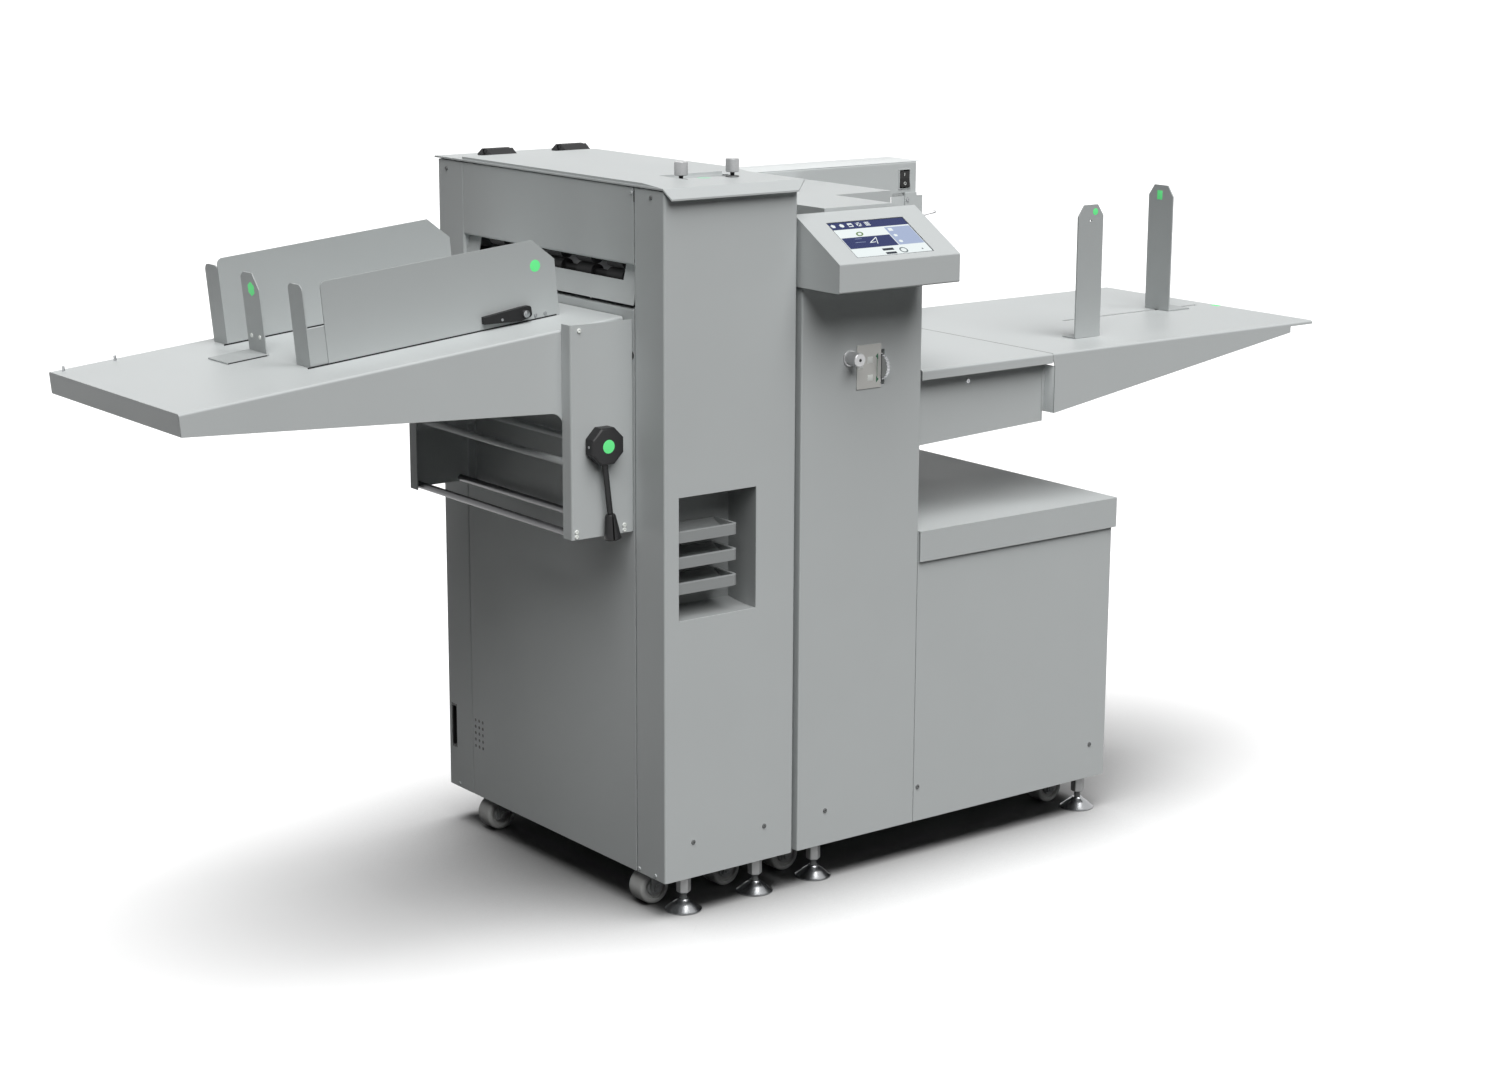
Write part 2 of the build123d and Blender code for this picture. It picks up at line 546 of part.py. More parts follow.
def top_cover():
    """Hinged lid: sheet with side flanges, tapered drip lip and a pressed finger recess."""
    top = TOWER_TOP + COVER_THICK
    middle = sum(COVER_X) / 2
    cover = block(COVER_X, (0, HINGE_Y - SEAM), (TOWER_TOP, top))
    lip = []
    for reach, drop, taper in ((0, 0, 0), (LIP_FORWARD, LIP_DROP, LIP_TAPER)):
        place = Plane.XZ.offset(reach) * Pos(middle - taper / 4, top - COVER_THICK / 2 - drop)
        lip.append(place * Rectangle(COVER_X[1] - COVER_X[0] - taper, COVER_THICK))
    cover += loft(lip)
    dish = Pos(sum(KNOB_X) / 2, KNOB_SETBACK + DISH_BEHIND_KNOBS)
    mouth = Plane.XY.offset(top) * dish * RectangleRounded(DISH_LENGTH, DISH_WIDTH, 10)
    floor = Plane.XY.offset(top - DISH_DEPTH) * dish * RectangleRounded(
        DISH_LENGTH - 2 * DISH_DEPTH, DISH_WIDTH - 2 * DISH_DEPTH, 4)
    pan = Plane.XY.offset(top - DISH_DEPTH - SHEET) * dish * RectangleRounded(DISH_LENGTH, DISH_WIDTH, 10)
    cover = cover + extrude(pan, DISH_DEPTH) - loft([mouth, floor])
    for x in (SHEET + 4, TOWER_WIDTH - 2 * SHEET - 4):
        cover += block((x, x + SHEET), (COLUMN_DEPTH + 6, TOWER_DEPTH - COLUMN_DEPTH - 6),
                       (TOWER_TOP - COVER_FLANGE, TOWER_TOP))
    for x in KNOB_X:
        cover -= bar_z(x, KNOB_SETBACK, (TOWER_TOP - 1, top + 1), KNOB_STEM / 2 + RUNNING)
    return cover


def cover_knob(x):
    """Captive lock screw of the lid: turned aluminium head on a black stem."""
    top = TOWER_TOP + COVER_THICK
    head_low = top + KNOB_STEM_HEIGHT
    head = bar_z(x, KNOB_SETBACK, (head_low, head_low + KNOB_HEIGHT), KNOB_DIAMETER / 2)
    head = chamfer(head.edges().filter_by(GeomType.CIRCLE), 1.2)
    stem = bar_z(x, KNOB_SETBACK, (top - 16, head_low), KNOB_STEM / 2)
    return head + stem + bar_z(x, KNOB_SETBACK, (top + GAP, top + GAP + 2), KNOB_DIAMETER / 2)


def hinge_leaf(x, side):
    """Half of a lid hinge; side -1 is the lid's leaf, +1 the fixed one with the pin."""
    low = HINGE_Z - HINGE_RISE
    ends = (x - HINGE_LENGTH / 2, x + HINGE_LENGTH / 2)
    outline = [(1, low), (24, low), (24, low + 3), (9, HINGE_Z + 5), (7.5, HINGE_Z + 5), (1, HINGE_Z)]
    leaf = prism([(HINGE_Y + side * reach, z) for reach, z in outline], SIDE, ends)
    leaf -= bar_x((ends[0] - 1, ends[1] + 1), HINGE_Y, HINGE_Z, 6.5)
    pitch = (HINGE_LENGTH - 4) / HINGE_KNUCKLES
    for index in range(0 if side > 0 else 1, HINGE_KNUCKLES, 2):
        start = ends[0] + 2 + index * pitch
        knuckle = (start + GAP / 2, start + pitch - GAP / 2)
        leaf += bar_x(knuckle, HINGE_Y, HINGE_Z, 5.5)
        leaf += block(knuckle, sorted((HINGE_Y, HINGE_Y + side * 8)), (HINGE_Z - 4, HINGE_Z + 4))
    if side > 0:
        return leaf + bar_x((ends[0] + 1, ends[1] - 1), HINGE_Y, HINGE_Z, HINGE_PIN)
    return leaf - bar_x((ends[0] - 1, ends[1] + 1), HINGE_Y, HINGE_Z, HINGE_PIN + RUNNING)


def roller(z):
    """Shaft with rubber tyres spaced over the paper's width."""
    shaft = bar_y(ROLLER_X, SHAFT_Y, z, SHAFT_RADIUS)
    tyre = (CREASE_WIDTH - 40) / (2 * ROLLER_TYRES - 1)
    for index in range(ROLLER_TYRES):
        start = SLOT_Y[0] + 20 + 2 * index * tyre
        shaft += bar_y(ROLLER_X, (start, start + tyre), z, ROLLER_RADIUS)
    return shaft


def crease_beam():
    """Moving upper bar with its blade, and the two yokes that the eccentrics drive."""
    outline = [(-1, 0), (1, 0), (3.5, 12), (18, 16), (18, CREASE_BEAM), (-18, CREASE_BEAM), (-18, 16), (-3.5, 12)]
    beam = prism([(CREASE_X + x, BLADE_Z + z) for x, z in outline], FRONT, (INSIDE_Y[0] + GAP, INSIDE_Y[1] - GAP))
    low = BLADE_Z + CREASE_BEAM
    half = ECCENTRIC_RADIUS + ECCENTRIC_THROW + 1.5
    for y in ECCENTRIC_Y:
        yoke_y = (y - ECCENTRIC_THICK / 2 - 1, y + ECCENTRIC_THICK / 2 + 1)
        yoke = block((CREASE_X - half - YOKE_WALL, CREASE_X + half + YOKE_WALL), yoke_y, (low, low + YOKE_HEIGHT))
        yoke = fillet(yoke.edges().filter_by(Axis.Y).group_by(Axis.Z)[-1], 10)
        window = (low + YOKE_WALL, low + YOKE_HEIGHT - YOKE_WALL)
        beam += yoke - block((CREASE_X - half, CREASE_X + half), (yoke_y[0] - 1, yoke_y[1] + 1), window)
    return beam


def crease_shaft():
    """Eccentric shaft that drives the blade beam down and up."""
    shaft = bar_y(CREASE_X, SHAFT_Y, SHAFT_Z, SHAFT_RADIUS)
    for y in ECCENTRIC_Y:
        shaft += bar_y(CREASE_X, (y - ECCENTRIC_THICK / 2, y + ECCENTRIC_THICK / 2),
                       SHAFT_Z + ECCENTRIC_THROW, ECCENTRIC_RADIUS)
    return shaft


def drive_motor():
    """Gear motor on a flange on the near side frame."""
    half, near = MOTOR_SIZE / 2, INSIDE_Y[0]
    motor = block((MOTOR_X - half, MOTOR_X + half), (near, near + 6), (MOTOR_Z - half, MOTOR_Z + half))
    case = block((MOTOR_X - half + 7, MOTOR_X + half - 7), (near + 6, near + 56), (MOTOR_Z - half + 7, MOTOR_Z + half - 7))
    motor += fillet(case.edges().filter_by(Axis.Y), 8)
    motor += bar_y(MOTOR_X, (near + 56, near + 160), MOTOR_Z, half - 11)
    return motor + bar_y(MOTOR_X, (near + 160, near + 172), MOTOR_Z, half - 19)


# ---- feeder ------------------------------------------------------------------------

def feeder_column():
    """Tall column with the slots of the table's arms and the sheet adjuster's fittings."""
    x = (FEEDER_X, COLUMN_END)
    shell = block(x, (0, FEEDER_DEPTH), (FLOOR_GAP, FEEDER_TOP))
    shell = fillet(shell.edges().filter_by(Axis.Z), BEND)
    column = hollow(shell, -Axis.Z)
    column -= block((x[1] - SHEET - 1, x[1] + 1), (SHEET, FEEDER_DEPTH - SHEET), (FLOOR_GAP - 1, PAN_TOP))
    for y in LIFT_Y:
        column -= block((x[1] - SHEET - 1, x[1] + 1), (y - ARM / 2 - 4, y + ARM / 2 + 4),
                        (ARM_Z[0] - LIFT_DOWN - 4, ARM_Z[1] + LIFT_UP + 4))
    for y in (CASTER_FRONT, FEEDER_DEPTH - CASTER_FRONT):
        for z in (3 * FLOOR_GAP, FEEDER_TOP - 2 * FLOOR_GAP):
            column += bar_x((TOWER_WIDTH, FEEDER_X), y, z, DOWEL_RADIUS)
    column += block((PLATE_X, PLATE_X + PLATE_WIDTH), (-1.2, 0), (ADJUSTER_Z - 57, ADJUSTER_Z + 20))
    column += block((WHEEL_X - 14, WHEEL_X + 14), (SHEET, WHEEL_Y + 14), (WHEEL_Z - 34, WHEEL_Z + 34))
    column -= block((WHEEL_X - 5, WHEEL_X + 5), (-2, WHEEL_Y + 16), (WHEEL_Z - 31, WHEEL_Z + 31))
    column -= bar_x((WHEEL_X - 15, WHEEL_X + 15), WHEEL_Y, WHEEL_Z, 4 + RUNNING)
    return column - bar_y(SKEW_X, (-1, SHEET + 1), ADJUSTER_Z, 4 + RUNNING)


def feeder_chassis():
    """Base pan of the whole feeder, and the upright guide rods of the table lift."""
    holes = [(x, FOOT_SETBACK, FOOT_STEM) for x in FEEDER_FEET]
    holes += [(x, y, KINGPIN) for x, y in FEEDER_CASTERS]
    base = base_pan((FEEDER_X + SHEET, FEEDER_END - SHEET), (SHEET, FEEDER_DEPTH - SHEET), holes)
    for y in LIFT_Y:
        base += bar_z(LIFT_X, y, (PAN_TOP, FEEDER_TOP - SHEET), LIFT_ROD)
    return base


def low_cabinet():
    """Low cabinet beside the column: front, end and back wrapped from one sheet."""
    half = SHEET / 2
    return folded([(COLUMN_END, half), (FEEDER_END - half, half), (FEEDER_END - half, FEEDER_DEPTH - half),
                   (COLUMN_END, FEEDER_DEPTH - half)], TOP, (FLOOR_GAP, CABINET_TOP + LID_HEIGHT - SHEET))


def cabinet_lid():
    """Lid of the low cabinet, with a deep skirt that stands proud of the walls."""
    lid = block((COLUMN_END + SEAM, FEEDER_END + LID_OVERHANG), (-LID_OVERHANG, FEEDER_DEPTH + LID_OVERHANG),
                (CABINET_TOP, CABINET_TOP + LID_HEIGHT))
    lid = hollow(fillet(lid.edges().filter_by(Axis.Z), BEND), -Axis.Z)
    return lid - block((COLUMN_END, COLUMN_END + SEAM + BEND), (SHEET - LID_OVERHANG, FEEDER_DEPTH + LID_OVERHANG - SHEET),
                       (CABINET_TOP - 1, CABINET_TOP + LID_HEIGHT - SHEET))


def screen_block(margin, low, high):
    """Block of the screen's size plus a margin, between two heights off the slope."""
    tilt = math.radians(CONSOLE_ANGLE)
    slope = Plane(origin=(CONSOLE_X, -CONSOLE_OVERHANG, FEEDER_TOP + CONSOLE_LIP), x_dir=(1, 0, 0),
                  z_dir=(0, -math.sin(tilt), math.cos(tilt)))
    centre = Pos(SCREEN_X + SCREEN_WIDTH / 2, SCREEN_UP + SCREEN_HEIGHT / 2, (low + high) / 2)
    return slope * centre * Box(SCREEN_WIDTH + 2 * margin, SCREEN_HEIGHT + 2 * margin, high - low)


def console_housing():
    """Wedge-shaped console of folded sheet, with the screen's window in its slope."""
    low = FEEDER_TOP
    outline = [(-CONSOLE_OVERHANG, low), (-CONSOLE_OVERHANG, low + CONSOLE_LIP), (CONSOLE_BACK, low + CONSOLE_RISE),
               (CONSOLE_BACK, low)]
    wedge = prism(outline, SIDE, (CONSOLE_X, CONSOLE_X + CONSOLE_LENGTH))
    wedge = fillet(wedge.edges().filter_by(Axis.X).group_by(Axis.Y)[0], BEND)
    walls = wedge - offset(wedge, amount=-SHEET)
    return walls - screen_block(GAP / 2, -3 * SHEET, SHEET)


def touchscreen():
    """Touch screen just below the slope, its rim against the console's inner face."""
    return screen_block(0, -4 * SHEET, -SCREEN_SINK) + screen_block(6, -4 * SHEET, -SHEET)


def head_cover():
    """Stepped covers of the feed head, on a foot that stands on the column."""
    back = BEAM_FRONT - SEAM
    neck = (NECK_X, NECK_X + NECK_LENGTH)
    outline = [(neck[0], NECK_Y), (neck[1], NECK_Y), (neck[1], HEAD_STEP), (HEAD_X[1], HEAD_STEP),
               (HEAD_X[1], back), (HEAD_X[0], back), (HEAD_X[0], HEAD_STEP), (neck[0], HEAD_STEP)]
    cover = hollow(prism(outline, TOP, (HEAD_BASE, HEAD_TOP)), -Axis.Z)
    return cover + block(neck, (NECK_Y, NECK_Y + NECK_FOOT), (FEEDER_TOP, HEAD_TOP - SHEET))


def air_beam():
    """Long box beam over the pile, with its foot, the switch's bezel and an end bracket."""
    beam = block((HEAD_X[0], BEAM_END), BEAM_Y, (BEAM_BASE, BEAM_TOP))
    beam = hollow(fillet(beam.edges().filter_by(Axis.X).group_by(Axis.Z)[-1], BEND), -Axis.Z)
    beam += hollow(block((HEAD_X[0], COLUMN_END), BEAM_Y, (FEEDER_TOP, BEAM_BASE + SHEET)), -Axis.Z)
    bezel = (SWITCH_WIDTH / 2 + 3, SWITCH_HEIGHT / 2 + 4)
    beam += block((SWITCH_X - bezel[0], SWITCH_X + bezel[0]), (BEAM_FRONT - 1.5, BEAM_FRONT + 16),
                  (SWITCH_Z - bezel[1], SWITCH_Z + bezel[1]))
    beam -= block((SWITCH_X - SWITCH_WIDTH / 2 - GAP, SWITCH_X + SWITCH_WIDTH / 2 + GAP),
                  (BEAM_FRONT - 2, BEAM_FRONT + 14),
                  (SWITCH_Z - SWITCH_HEIGHT / 2 - 2.6, SWITCH_Z + SWITCH_HEIGHT / 2 + 2.6))
    beam -= bar_x((SWITCH_X - bezel[0] + 1, SWITCH_X + bezel[0] - 1), ROCKER_Y, SWITCH_Z, 1.5 + RUNNING)
    edge, low = BEAM_END - END_BRACKET_INSET, BEAM_BASE - END_BRACKET_DROP
    far = edge + END_BRACKET
    plate = prism([(edge, BEAM_BASE), (far, BEAM_BASE), (far, low + 17), (far - 9, low), (edge, low)],
                  FRONT, (BEAM_FRONT - 3, BEAM_FRONT))
    return beam + plate + block((edge, BEAM_END), (BEAM_FRONT - 3, BEAM_FRONT + 1), (BEAM_BASE - 4, BEAM_BASE + 6))


def rocker_switch():
    """Mains rocker on its pivot pins in the bezel."""
    half, middle = SWITCH_HEIGHT / 2, SWITCH_Z
    outline = [(BEAM_FRONT - 4, middle - half), (BEAM_FRONT - 0.5, middle + 1), (BEAM_FRONT - 1.5, middle + half),
               (BEAM_FRONT + 9, middle + half - 6), (BEAM_FRONT + 9, middle - half + 6)]
    rocker = prism(outline, SIDE, (SWITCH_X - SWITCH_WIDTH / 2, SWITCH_X + SWITCH_WIDTH / 2))
    return rocker + bar_x((SWITCH_X - SWITCH_WIDTH / 2 - 1.5, SWITCH_X + SWITCH_WIDTH / 2 + 1.5), ROCKER_Y, middle, 1.5)


def feed_belts():
    """Suction belts round their pulleys and vacuum box, hung from the feed head."""
    centre = PAPER_LINE + 1 + BELT_LOOP / 2
    x = (HEAD_X[0] + 70, HEAD_X[1] - 40)
    length = x[1] - x[0] + 44
    unit = block(x, (HEAD_STEP + 20, BEAM_FRONT - 24), (centre - 20, centre + 20))
    loop = SlotOverall(length, BELT_LOOP) - SlotOverall(length - 4, BELT_LOOP - 4)
    for index in range(BELT_COUNT):
        low = BELT_LOW + index * BELT_PITCH
        belt_y = (low, low + BELT_WIDTH)
        unit += push(Pos(sum(x) / 2, centre) * loop, FRONT, belt_y)
        for end in (-1, 1):
            unit += bar_y(sum(x) / 2 + end * (length - BELT_LOOP) / 2, belt_y, centre, BELT_LOOP / 2 - 2)
    for index in (0, BELT_COUNT - 2):
        low = BELT_LOW + BELT_WIDTH + index * BELT_PITCH
        unit += block((x[0] + 40, x[1] - 30), (low + 8, low + 20), (centre, HEAD_TOP - SHEET))
    return unit


def vacuum_pump():
    """Side-channel blower with its motor, in the low cabinet."""
    x, front = COLUMN_END + PUMP_SETBACK, FEEDER_DEPTH / 2 - PUMP_FRONT
    back = front + PUMP_WIDTH + PUMP_MOTOR_LENGTH
    half, axis = PUMP_FOOT / 2, PAN_TOP + PUMP_RISE
    pump = block((x - half, x + half), (front - 20, back), (PAN_TOP, PAN_TOP + 12))
    pump += block((x - half + 20, x + half - 20), (front, back - 30), (PAN_TOP + 12, PAN_TOP + 0.4 * PUMP_RISE))
    pump += bar_y(x, (front, front + PUMP_WIDTH), axis, PUMP_RADIUS)
    pump += bar_y(x, (front + PUMP_WIDTH, back), axis, PUMP_MOTOR_RADIUS)
    outlet = (axis + PUMP_RADIUS / 2, axis + PUMP_RADIUS + PUMP_OUTLET_RISE)
    return pump + bar_z(x - 0.64 * PUMP_RADIUS, front + PUMP_WIDTH / 2, outlet, PUMP_OUTLET_RADIUS)


def skew_knob():
    """Fine adjustment knob of the feed register."""
    knob = bar_y(SKEW_X, (-30, -2.5), ADJUSTER_Z, SKEW_RADIUS)
    knob = chamfer(knob.edges().filter_by(GeomType.CIRCLE), 1.0)
    knob -= bar_y(SKEW_X, (-31, -26), ADJUSTER_Z, 2.5)
    knob += bar_y(SKEW_X, (-2.5, -GAP), ADJUSTER_Z, SKEW_RADIUS + 2)
    return knob + bar_y(SKEW_X, (-GAP, 40), ADJUSTER_Z, 4)


def gap_thumbwheel():
    """Knurled wheel that stands out of a slot and sets the sheet gap."""
    wheel = bar_x((WHEEL_X - 3, WHEEL_X + 3), WHEEL_Y, WHEEL_Z, WHEEL_RADIUS)
    for index in range(WHEEL_TEETH):
        angle = 2 * math.pi * index / WHEEL_TEETH
        wheel -= bar_x((WHEEL_X - 4, WHEEL_X + 4), WHEEL_Y + WHEEL_RADIUS * math.cos(angle),
                       WHEEL_Z + WHEEL_RADIUS * math.sin(angle), 1.4)
    return wheel + bar_x((WHEEL_X - 12, WHEEL_X + 12), WHEEL_Y, WHEEL_Z, 4)


# ---- feed table --------------------------------------------------------------------

def feed_table():
    """Fixed part of the feed table on its cantilever brackets and lift carriage."""
    x = (TABLE_X, TABLE_SEAM - SEAM / 2)
    half, low = SHEET / 2, TABLE_TOP - BRACKET_DEEP
    table = folded([(half, TABLE_TOP - TABLE_LIP), (half, TABLE_TOP - half), (FEEDER_DEPTH - half, TABLE_TOP - half),
                    (FEEDER_DEPTH - half, TABLE_TOP - TABLE_LIP)], SIDE, x)
    outline = [(x[0], low), (x[1], TABLE_TOP - BRACKET_SHALLOW), (x[1], TABLE_TOP - SHEET), (x[0], TABLE_TOP - SHEET)]
    table += mirrored_y(prism(outline, FRONT, (BRACKET_SETBACK, BRACKET_SETBACK + 3)), FEEDER_DEPTH)
    table += block((x[0], x[0] + 4), (BRACKET_SETBACK, FEEDER_DEPTH - BRACKET_SETBACK), (low, TABLE_TOP - SHEET))
    across = (LIFT_X - LIFT_CARRIAGE, LIFT_X + LIFT_CARRIAGE)
    for y in LIFT_Y:
        table += block((LIFT_X, x[0]), (y - ARM / 2, y + ARM / 2), ARM_Z)
        table += block(across, (y - LIFT_CARRIAGE, y + LIFT_CARRIAGE), ARM_Z)
    table += block(across, LIFT_Y, (ARM_Z[0] + LIFT_CARRIAGE, ARM_Z[0] + 3 * LIFT_CARRIAGE))
    for y in LIFT_Y:
        table -= bar_z(LIFT_X, y, (ARM_Z[0] - 1, ARM_Z[1] + 1), LIFT_ROD + RUNNING)
    return table - bar_z(LIFT_X, FEEDER_DEPTH / 2, ARM_Z, LIFT_SCREW + RUNNING)


def table_extension():
    """Outer part of the feed table: tapered skirts, return flanges and a thin nose."""
    half = SHEET / 2
    low = TABLE_TOP - SKIRT_DEEP
    start = TABLE_SEAM + SEAM / 2
    foot = start + 5
    top = folded([(half, low), (half, TABLE_TOP - half), (FEEDER_DEPTH - half, TABLE_TOP - half),
                  (FEEDER_DEPTH - half, low)], SIDE, (start, TABLE_END))
    across = (-1, FEEDER_DEPTH + 1)
    top -= prism([(foot, low), (SKIRT_END, TABLE_TOP - SKIRT_SHALLOW), (SKIRT_END, TABLE_TOP - NOSE_HEIGHT),
                  (TABLE_END + 1, TABLE_TOP - NOSE_HEIGHT), (TABLE_END + 1, low - 1), (foot, low - 1)], FRONT, across)
    top -= prism([(start - 1, low - 1), (foot, low - 1), (foot, TABLE_TOP - 24), (start - 1, TABLE_TOP - 9)],
                 FRONT, across)
    top += block((TABLE_END - SHEET, TABLE_END), (half, FEEDER_DEPTH - half), (TABLE_TOP - NOSE_HEIGHT, TABLE_TOP - BEND - half))
    top += mirrored_y(block((foot, foot + SHEET), (half, BRACKET_SETBACK + 5), (low, TABLE_TOP - 24)), FEEDER_DEPTH)
    top += block((TABLE_SEAM - 40, foot + 40), (3 * BRACKET_SETBACK, FEEDER_DEPTH - 3 * BRACKET_SETBACK),
                 (TABLE_TOP - SHEET - 3, TABLE_TOP - SHEET))
    slot = (TONGUE_X[0] - BACKSTOP_IN - 8, TONGUE_X[1] + BACKSTOP_OUT + 8)
    half = BACKSTOP_SLOT / 2
    return top - block(slot, (BACKSTOP_Y - half, BACKSTOP_Y + half), (TABLE_TOP - SHEET - 1, TABLE_TOP + 1))


def guide_outline(low_side, high_side, low, high):
    """Outline of an upright plate with cut upper corners."""
    cut = PILE_GUIDE_CORNER
    return [(low_side, low), (high_side, low), (high_side, high - 1.4 * cut), (high_side - cut, high),
            (low_side + cut, high), (low_side, high - 1.4 * cut)]


def feed_side_guide():
    """Upright side guide at the near edge of the pile, on its foot."""
    x = (SIDE_GUIDE_X, SIDE_GUIDE_X + SIDE_GUIDE_WIDTH)
    low = TABLE_TOP + GAP
    top = low + PILE_GUIDE_HEIGHT
    y = (SIDE_GUIDE_Y, SIDE_GUIDE_Y + PILE_GUIDE_THICK)
    guide = prism(guide_outline(*x, low, top), FRONT, y)
    guide -= bar_y(sum(x) / 2, (y[0] - 1, y[1] + 1), top - 2 * PILE_GUIDE_CORNER, 2.5)
    return guide + block(x, (SIDE_GUIDE_Y, SIDE_GUIDE_Y + SIDE_GUIDE_FOOT), (low, low + SHEET))


def backstop():
    """Upright stop behind the pile, on a tongue in the table's slot."""
    y = (BACKSTOP_Y - BACKSTOP_WIDTH / 2, BACKSTOP_Y + BACKSTOP_WIDTH / 2)
    low = TABLE_TOP + GAP
    stop = prism(guide_outline(*y, low, low + PILE_GUIDE_HEIGHT), SIDE, (BACKSTOP_X, BACKSTOP_X + PILE_GUIDE_THICK))
    stop += block((BACKSTOP_X, BACKSTOP_X + BACKSTOP_FOOT), y, (low, low + SHEET))
    under = TABLE_TOP - SHEET - GAP
    half = BACKSTOP_SLOT / 2 - GAP
    stop += block(TONGUE_X, (BACKSTOP_Y - half, BACKSTOP_Y + half), (under - 4, low + 1))
    half = BACKSTOP_SLOT + 4
    return stop + block(TONGUE_X, (BACKSTOP_Y - half, BACKSTOP_Y + half), (under - 4, under))


def lift_screw():
    """Lead screw of the table lift, standing in the column."""
    low = PAN_TOP + GAP
    y = FEEDER_DEPTH / 2
    screw = bar_z(LIFT_X, y, (low, FEEDER_TOP - SHEET - GAP), LIFT_SCREW)
    return screw + bar_z(LIFT_X, y, (low, low + 20), LIFT_COLLAR)


# ---- delivery ----------------------------------------------------------------------

def delivery_brackets():
    """Two flanged side brackets on the tower, joined by two round cross rods."""
    half = SHEET / 2
    reach = TRAY_Y[0] - GAP
    outer, inner = -BRACKET_WIDTH + half, -half
    web = folded([(outer, reach), (outer, BRACKET_Y + half), (inner, BRACKET_Y + half), (inner, reach)],
                 TOP, (BRACKET_LOW, BRACKET_TOP))
    web -= block((-SHEET - 6, 1), (BRACKET_Y + SHEET, reach + 1), (CHUTE_LOW - 30, BRACKET_TOP + 1))
    web -= bar_y(LEVER_X, (BRACKET_Y - 1, BRACKET_Y + SHEET + 1), LEVER_Z, LEVER_STEM + RUNNING)
    brackets = mirrored_y(web, TOWER_DEPTH)
    for x in (OUTER_ROD_X, INNER_ROD_X):
        brackets += bar_y(x, (BRACKET_Y + SHEET, TOWER_DEPTH - BRACKET_Y - SHEET), ROD_LOW, ROD_RADIUS)
    return brackets


def clamp_lever():
    """Rounded hub, rod and tapered grip; its stem clamps the tray's arm at any height."""
    near = BRACKET_Y - GAP
    face = FRONT.offset(-near) * Pos(LEVER_X, LEVER_Z) * RectangleRounded(LEVER_HUB, LEVER_HUB, LEVER_HUB * 0.32)
    hub = extrude(face, LEVER_DEPTH)
    hub = fillet(hub.faces().sort_by(Axis.Y)[0].edges(), 3)
    stem = bar_y(LEVER_X, (near - 2, TRAY_Y[0] + SHEET + 10), LEVER_Z, LEVER_STEM)
    stem += bar_y(LEVER_X, (TRAY_Y[0] + SHEET + GAP, TRAY_Y[0] + SHEET + 7), LEVER_Z, 2 * LEVER_STEM)
    middle = near - LEVER_GRIP - SEAM
    elbow = (LEVER_X + 2, middle, LEVER_Z - LEVER_HUB / 2 + 6)
    neck = (LEVER_X + 9, middle, LEVER_Z - 118)
    grip = Solid.make_cone(8.5, LEVER_GRIP, 44, Plane(origin=neck, z_dir=Vector(*neck) - Vector(*elbow)))
    return hub + stem + bar(elbow, neck, LEVER_ROD) + (Part() + grip)


def tray_trim():
    """What is cut off below the tray's tapered skirts and outside its arms."""
    slope = math.radians(TRAY_SLOPE)
    below = TRAY_LIP + TRAY_TAPER * (TRAY_LENGTH - BRACKET_WIDTH)
    outer = (-TRAY_LENGTH * math.cos(slope) + TRAY_LIP * math.sin(slope) - 1,
             tray_height(-TRAY_LENGTH * math.cos(slope)) - TRAY_LIP * math.cos(slope))
    beyond = (outer[0] - TRAY_LIP, outer[1] - 0.05 * TRAY_LIP)
    corner = (TRAY_ARM_X[0], tray_height(TRAY_ARM_X[0]) - below)
    low = ARM_LOW - ARM_HEIGHT
    trim = prism([beyond, outer, corner, (corner[0], low), (beyond[0], low)], FRONT, (0, TOWER_DEPTH))
    inside = trim.edges().filter_by(Axis.Y).sort_by(Axis.X)[-2:].sort_by(Axis.Z)[-1]
    return fillet(inside, ARM_CORNER)


def delivery_tray():
    """Sloping tray folded from one sheet, with its arms and cross rods in the brackets."""
    half = SHEET / 2
    deep = 1.24 * ARM_HEIGHT
    tray = folded([(TRAY_Y[0] + half, -deep), (TRAY_Y[0] + half, -half), (TRAY_Y[1] - half, -half),
                   (TRAY_Y[1] - half, -deep)], SIDE, (-TRAY_LENGTH, 30))
    tray += block((-TRAY_LENGTH, -TRAY_LENGTH + SHEET), (TRAY_Y[0] + BEND, TRAY_Y[1] - BEND), (-TRAY_LIP, -half))
    tray = on_tray(tray) - tray_trim()
    tray -= block((TRAY_ARM_X[1], 100), (0, TOWER_DEPTH), (0, 2 * TRAY_LEVEL))
    tray -= block((TRAY_ARM_X[0] - 1, 100), (0, TOWER_DEPTH), (0, ARM_LOW))
    tray -= block((LEVER_X - LEVER_STEM - 1, LEVER_X + LEVER_STEM + 1), (TRAY_Y[0] - 1, TRAY_Y[0] + SHEET + 1),
                  (LEVER_Z - LEVER_STEM - TRAY_UP - 1, LEVER_Z + LEVER_STEM + TRAY_DOWN + 1))
    for x, z in ((OUTER_ROD_X, ARM_LOW + 16), (INNER_ROD_X, ARM_LOW + 28)):
        tray += bar_y(x, (TRAY_Y[0] + SHEET, TRAY_Y[1] - SHEET), z, ROD_RADIUS)
    return tray


